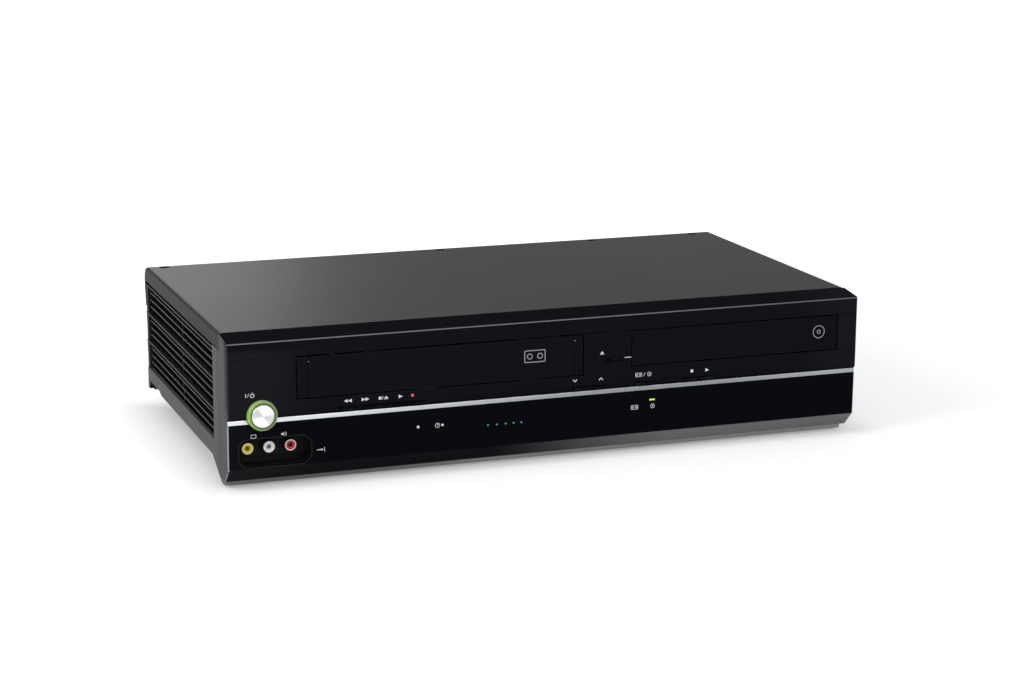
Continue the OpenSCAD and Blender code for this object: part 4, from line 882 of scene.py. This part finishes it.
def ring_profile(r, deep):
    """A crowned ring with a flange at its rear, which reaches r in whole hundredths."""
    flange = round(r, 2)
    return [(7.62, 0.9), (7.8, 0.25), (8.2, 0), (8.8, 0.08), (9.3, 0.45), (9.5, 1.1),
            (9.5, deep - 1), (flange, deep - 0.98), (flange, deep), (7.62, deep)]


def socket_profile(r, deep):
    """A phono socket: a blind hole for the pin, the coloured face a little inside, the rolled rim, and the
    shell with its narrower rear."""
    return [(1.5, 5.5), (1.5, 0.7), (1.75, 0.5), (2.55, 0.45), (2.75, 0.1), (2.95, 0), (3.5, 0),
            (3.7, 0.12), (4.0, 0.6), (r, 1.0), (r, deep - 3.02), (3.4, deep - 3.0), (3.4, deep),
            (0.05, deep), (0.05, 5.5)]


turned("power_cap", "power_button", cap_profile, cap_silver, "power_button", "button_silver", ring=False)
turned("power_ring_lit", "power_ring", ring_profile, ring_green, slot="ring_green")
for node, material, slot in (
    ("video_socket", socket_yellow, "socket_yellow"),
    ("left_audio_socket", socket_white, "socket_white"),
    ("right_audio_socket", socket_red, "socket_red"),
):
    turned(node + "_shell", node, socket_profile, material, slot=slot, n=64)
rim = hoop(rounded(w=46.6, h=18.3, r=7.0, x=-187.2, z=25.35, n=12), oval(0.25, 2.28, 0.42, 0.35, 10))
add("socket_recess_rim", rim, rim_gloss, 60, slot="bezel_gloss")

# ---------- marks: generic pictograms only ----------


def triangle(x, z, w, h, way):
    """A triangle w by h about (x, z) that points left, right, up or down."""
    points = {
        "right": [(-w / 2, -h / 2), (w / 2, 0), (-w / 2, h / 2)],
        "left": [(w / 2, -h / 2), (w / 2, h / 2), (-w / 2, 0)],
        "up": [(-w / 2, -h / 2), (w / 2, -h / 2), (0, h / 2)],
        "down": [(-w / 2, h / 2), (0, -h / 2), (w / 2, h / 2)],
    }[way]
    return [(x + a, z + b) for a, b in points]


def bar(x, z, w, h):
    """A rectangle w by h about (x, z)."""
    return [(x - w / 2, z - h / 2), (x + w / 2, z - h / 2), (x + w / 2, z + h / 2), (x - w / 2, z + h / 2)]


def stroke(a, b, w):
    """A straight stroke of width w from point a to point b."""
    a, b = np.array(a, float), np.array(b, float)
    d = (b - a) / np.linalg.norm(b - a)
    n = np.array([-d[1], d[0]]) * w / 2
    return [a + n, a - n, b - n, b + n]


RAISED, SUNK = 0.04, 0.05  # mm by which a mark stands out of its plane and reaches into it


def marks(name, y, material, solid, rings=(), body="cabinet"):
    """Flat marks on the plane at depth y: solid outlines, and rings of (outer, inner) outlines."""
    parts = [prism(o, y - RAISED, y + SUNK) for o in solid]
    parts += [band(o, i, y - RAISED, y + SUNK) for o, i in rings]
    return add(name, gather(parts), material, 20, body)


def eject(x, z):
    """A triangle that points up over a bar."""
    return [triangle(x, z + 0.45, 2.7, 1.35, "up"), bar(x, z - 0.75, 2.7, 0.42)]


def cassette(x, z, w, h, line):
    """A cassette: a rounded frame with its two reels."""
    edge = (rounded(w, h, 0.12 * h, x, z), rounded(w - 2 * line, h - 2 * line, 0.08 * h, x, z))
    reels = [[disc(x + s * 0.24 * w, z, r) for r in (0.24 * h, 0.24 * h - line)] for s in (-1, 1)]
    return [edge, *reels]


def compact_disc(x, z, r, line):
    """A disc: its rim and its hub."""
    hub = 0.32 * r
    return [(disc(x, z, r, 40), disc(x, z, r - line, 40)), (disc(x, z, hub), disc(x, z, hub - line))]


def arc(x, z, r, line, start, end):
    """A part of a ring from one angle to another, in degrees, as one outline."""
    a = np.radians(np.linspace(start, end, 20))
    outer = np.stack([x + r * np.cos(a), z + r * np.sin(a)], -1)
    inner = np.stack([x + (r - line) * np.cos(a[::-1]), z + (r - line) * np.sin(a[::-1])], -1)
    return np.concatenate([outer, inner])


WINDOW = 2.3  # mm behind the upper front
DOOR, PANEL = (corners(node)[0][1] for node in ("tape_door", "tray_panel"))
marks(
    "transport_marks", 0, mark_white,
    [
        triangle(-141.8, 54.8, 2.5, 2.3, "left"), triangle(-139.2, 54.8, 2.5, 2.3, "left"),
        triangle(-130.3, 54.9, 2.5, 2.3, "right"), triangle(-127.8, 54.9, 2.5, 2.3, "right"),
        bar(-119.4, 54.8, 1.9, 1.9), stroke((-118.0, 53.7), (-117.3, 55.9), 0.28), *eject(-115.4, 54.8),
        triangle(-105.8, 54.8, 2.7, 2.3, "right"),
        stroke((11.2, 56.0), (12.6, 54.5), 0.5), stroke((12.6, 54.5), (14.0, 56.0), 0.5),
        stroke((29.4, 54.3), (30.8, 55.8), 0.5), stroke((30.8, 55.8), (32.2, 54.3), 0.5),
        *eject(31.4, 72.3), bar(49.6, 68.1, 4.6, 0.5),
        bar(95.6, 55.2, 1.9, 1.9), triangle(106.7, 55.1, 2.6, 2.3, "right"),
        bar(-206.0, 63.4, 0.45, 2.4), stroke((-204.9, 62.2), (-204.2, 64.6), 0.28),
        bar(-201.9, 64.4, 0.42, 1.7), arc(-201.9, 63.3, 1.45, 0.4, 120, 420),
    ],
    [*cassette(57.4, 55.6, 4.6, 2.7, 0.3), *compact_disc(65.0, 55.6, 1.45, 0.3)],
)
marks("record_mark", 0, mark_red, [disc(-98.0, 54.9, 1.05)])
marks("slash_mark", 0, mark_white, [stroke((60.9, 54.4), (62.0, 56.8), 0.28)])
marks(
    "indicator_marks", WINDOW, mark_white,
    [
        disc(-93.6, 33.0, 0.95), stroke((-80.6, 33.0), (-80.6, 34.1), 0.3),
        stroke((-80.6, 33.0), (-79.8, 33.0), 0.3), disc(-77.2, 33.0, 0.8),
        bar(-155.4, 24.1, 0.35, 3.0), stroke((-160.4, 24.1), (-157.2, 24.1), 0.4),
        triangle(-156.9, 24.1, 1.3, 1.7, "right"),
    ],
    [
        (disc(-80.6, 33.0, 1.6, 32), disc(-80.6, 33.0, 1.3, 32)), *cassette(55.9, 33.2, 5.0, 2.9, 0.32),
        *compact_disc(68.8, 33.2, 1.55, 0.32),
        (rounded(3.4, 2.4, 0.4, -201.0, 36.4), rounded(2.8, 1.8, 0.2, -201.0, 36.4)),
    ],
)
marks(
    "audio_marks", WINDOW, mark_white,
    [
        bar(-182.9, 36.4, 0.7, 1.0), [(-182.5, 35.9), (-181.5, 35.2), (-181.5, 37.6), (-182.5, 36.9)],
        arc(-182.0, 36.4, 1.5, 0.25, -40, 40), arc(-182.0, 36.4, 2.2, 0.25, -40, 40),
    ],
)
dots = [disc(x, 30.1, 0.62, 16) for x in (-46.4, -40.3, -34.3, -28.8, -23.5)]
marks("pilot_dots", WINDOW, lamp_teal, dots)
marks("disc_pilot_light", WINDOW, lamp_lime, [rounded(4.0, 1.0, 0.3, 68.4, 37.5)])
pips = [disc(x, 82.0, 0.3, 12) for x in (-165.6, 12.3)]
marks("door_pictogram", DOOR, mark_grey, pips, cassette(-15.2, 73.8, 14.6, 8.2, 0.55), "tape_door")
marks("tray_pictogram", PANEL, mark_grey, [], compact_disc(188.6, 74.8, 4.4, 0.5), "disc_tray")

# ---------- rear details ----------

MOUNTS = {m["name"]: m["pos_m"] for m in frame["record"]["mounts"]}
ROOM = 0.45  # mm by which the sockets' end faces move in, to leave room for their coloured inserts
back = corners("rear_sockets")[1][1]
points = read(rear_block.data.vertices, "co", 3)
points[points[:, 1] > at((0, back - 0.05, 0))[1], 1] -= ROOM / 1000
rear_block.data.vertices.foreach_set("co", points.ravel())
INSERT = [(1.75, 0.35), (1.75, 0.02), (3.3, 0.02), (3.9, 0.12),
          (4.16, 0.4), (4.16, 3.6), (3.9, 3.6), (3.9, 0.6)]
COLOURS = {
    "yellow": (socket_yellow, (1, 9)), "white": (socket_white, (2, 10)), "red": (socket_red, (3, 7, 11)),
    "green": (socket_green, (5,)), "blue": (socket_blue, (6,)), "orange": (socket_orange, (4,)),
    "plain": (socket_black, (8, 12)),
}
for colour, (material, numbers) in COLOURS.items():
    spots = [MOUNTS["rear_socket_%d" % n] for n in numbers]
    shapes = [lathe(INSERT, (p[0] * 1000, back, p[2] * 1000), 40, True) for p in spots]
    add("rear_inserts_" + colour, gather(shapes), material, 40)

# ---------- dark pleated sheets behind the louvres: painted shade in the slots ---


def pleated(x, half, y0, y1, z0, z1, pleat):
    """A pleated sheet: its sides lie at x -+ half + 0.4 half * sin(2 pi y / pleat), joined at all ends."""
    n = 97
    y = np.linspace(y0, y1, n)
    wave = x + 0.4 * half * np.sin(2 * np.pi * y / pleat)
    round_it = [(wave - half, z0), (wave + half, z0), (wave + half, z1), (wave - half, z1)]
    points = np.stack([np.stack([a, y, np.full(n, z)], -1) for a, z in round_it], 1).reshape(-1, 3)
    return points, quads(n, 4, False, True) + [[0, 1, 2, 3], [4 * n - 4, 4 * n - 3, 4 * n - 2, 4 * n - 1]]


# near-black pleated sheets behind the louvres: painted shade in the slots
sheets = [pleated(x, half=0.4, y0=32, y1=228, z0=22, z1=90, pleat=8) for x in (-211.6, 211.6)]
add("louvre_shade_sheets", gather(sheets), felt, 60)

# ---------- inner pieces keep their solids ----------

KEPT = {
    "cover_screws": screw_black, "front_board": board_tan, "display_module": socket_black,
    "loader_frame": loader_grey, "clamp_bridge": bridge_steel, "clamp_puck": acetal,
    "traverse_frame": loader_grey, "turntable": turn_black, "spindle_motor": motor_steel,
    "pickup_sled": loader_grey, "guide_rods": motor_steel, "tray_gear": acetal, "loader_motor": motor_steel,
    "motor_pinion": acetal, "deck_plate": deck_steel, "deck_rails": deck_steel, "holder_slider": deck_steel,
    "cassette_holder": deck_steel, "lower_drum": drum_metal, "upper_drum": drum_metal,
    "supply_reel": turn_black, "takeup_reel": turn_black, "capstan": capstan_metal,
    "pinch_arm": bridge_steel, "pinch_roller": roller_rubber, "left_tape_guide": brass,
    "right_tape_guide": brass, "tape_heads": motor_steel, "main_board": board_green,
    "power_board": board_tan,
}
for node, material in KEPT.items():
    NODES[node].data.materials.clear()
    NODES[node].data.materials.append(material)

# ---------- studio ----------


def seen_ray(bench):
    """1 for what the camera sees, straight, in a reflection or through glass."""
    out = bench.node("ShaderNodeLightPath").outputs
    return bench.either(*(out[f"Is {way} Ray"] for way in ("Camera", "Glossy", "Transmission")))


CLEAR = (217.5, 105)  # mm from the middle, in x and y, within which the floor keeps a painted shadow
FLOOR = 6  # m from the middle to each side of the floor


def pale_floor():
    """A plain pale floor: lit and shaded next to the cabinet, with a painted shadow there, and white
    a little way off. What is seen gets a glow that rises from 0.14 to 0.52 and then to 1 with the larger
    of |x| - clear x and |y| - clear y; the low glow next to the cabinet is that painted shadow."""
    mesh = bpy.data.meshes.new("studio_floor")
    side = np.linspace(-FLOOR, FLOOR, 5)
    x, y = np.meshgrid(side, side)
    points = np.stack([x, y, 0 * x], -1).reshape(-1, 3)
    mesh.from_pydata(points.tolist(), [], quads(5, 5))
    material = bpy.data.materials.new("pale floor")
    b = cleared(material)
    lit = b.node("ShaderNodeBsdfDiffuse", {"Color": (0.85, 0.85, 0.85, 1)})
    from_middle = b.spot((0, -FACE * 1000, 0))
    away = b.either(*(b.sum("SUBTRACT", b.sum("ABSOLUTE", from_middle[k]), CLEAR[k]) for k in range(2)))
    # painted shadow: the glow is low next to the cabinet and rises away from it
    glow = b.sum("ADD", b.step(away, -30, 35, 0.14, 0.52), b.step(away, 250, 800, 0.0, 0.48))
    white = b.node("ShaderNodeEmission", {"Color": (1, 1, 1, 1), "Strength": b.both(seen_ray(b), glow)})
    both = b.node("ShaderNodeAddShader", {0: lit.outputs[0], 1: white.outputs[0]})
    b.node("ShaderNodeOutputMaterial", {0: both.outputs[0]})
    mesh.materials.append(material)
    placed("studio_floor", mesh)


def white_world():
    """White where it is seen, and a plain soft level for the light that it gives."""
    world = bpy.data.worlds.new("studio")
    bpy.context.scene.world = world
    b = cleared(world)
    strength = b.step(seen_ray(b), 0.0, 1.0, 0.42, 1.0)
    sky = b.node("ShaderNodeBackground", {"Color": (1, 1, 1, 1), "Strength": strength})
    b.node("ShaderNodeOutputWorld", {0: sky.outputs[0]})


def standing(columns):
    """A matrix from its three axes and its place, in metres."""
    return Matrix(np.vstack([np.stack(columns, 1), [0, 0, 0, 1]]).tolist())


def soft_lamp(name, place, aim, size, power):
    """A rectangular soft light at a place in metres, turned to face its aim."""
    light = bpy.data.lights.new(name, "AREA")
    light.shape = "RECTANGLE"
    light.size, light.size_y = size
    light.energy = power
    lamp = placed(name, light)
    back = np.subtract(place, aim)
    back /= np.linalg.norm(back)
    right = np.cross([0, 0, 1], back)
    right /= np.linalg.norm(right)
    lamp.matrix_world = standing([right, np.cross(back, right), back, place])
    lamp.visible_camera = False


EYE = (-543.8, -1389.3, 432.0)
TURN, DIP, ROLL = (math.radians(a) for a in (20.256, 13.197, 0.336))
FOCAL = 2378.4 / 1024  # of the picture's width
SENSOR = 36  # mm


def camera():
    """The camera by its place, its turn to the right, its dip and its small roll."""
    fore = np.array([math.sin(TURN) * math.cos(DIP), math.cos(TURN) * math.cos(DIP), -math.sin(DIP)])
    level = np.array([math.cos(TURN), -math.sin(TURN), 0])
    over = np.cross(level, fore)
    right = level * math.cos(ROLL) + over * math.sin(ROLL)
    up = -level * math.sin(ROLL) + over * math.cos(ROLL)
    data = bpy.data.cameras.new("camera")
    data.sensor_width = SENSOR
    data.lens = FOCAL * SENSOR
    data.dof.use_dof = False
    data.clip_start, data.clip_end = 0.05, 60
    eye = placed("camera", data)
    eye.matrix_world = standing([right, up, -fore, at(EYE)])
    bpy.context.scene.camera = eye


pale_floor()
white_world()
soft_lamp("left key light", place=(-1.6, -0.5, 1.1), aim=(0, 0, 0.05), size=(0.9, 0.9), power=14)
soft_lamp("rear softbox", place=(0.0, 1.9, 0.60), aim=(-0.1, 0, 0.1), size=(0.7, 0.5), power=4.2)
soft_lamp("front fill light", place=(0.6, -2.2, 1.3), aim=(0, 0, 0.05), size=(1.4, 1.0), power=10)
camera()
bpy.context.scene.view_settings.view_transform = "Standard"
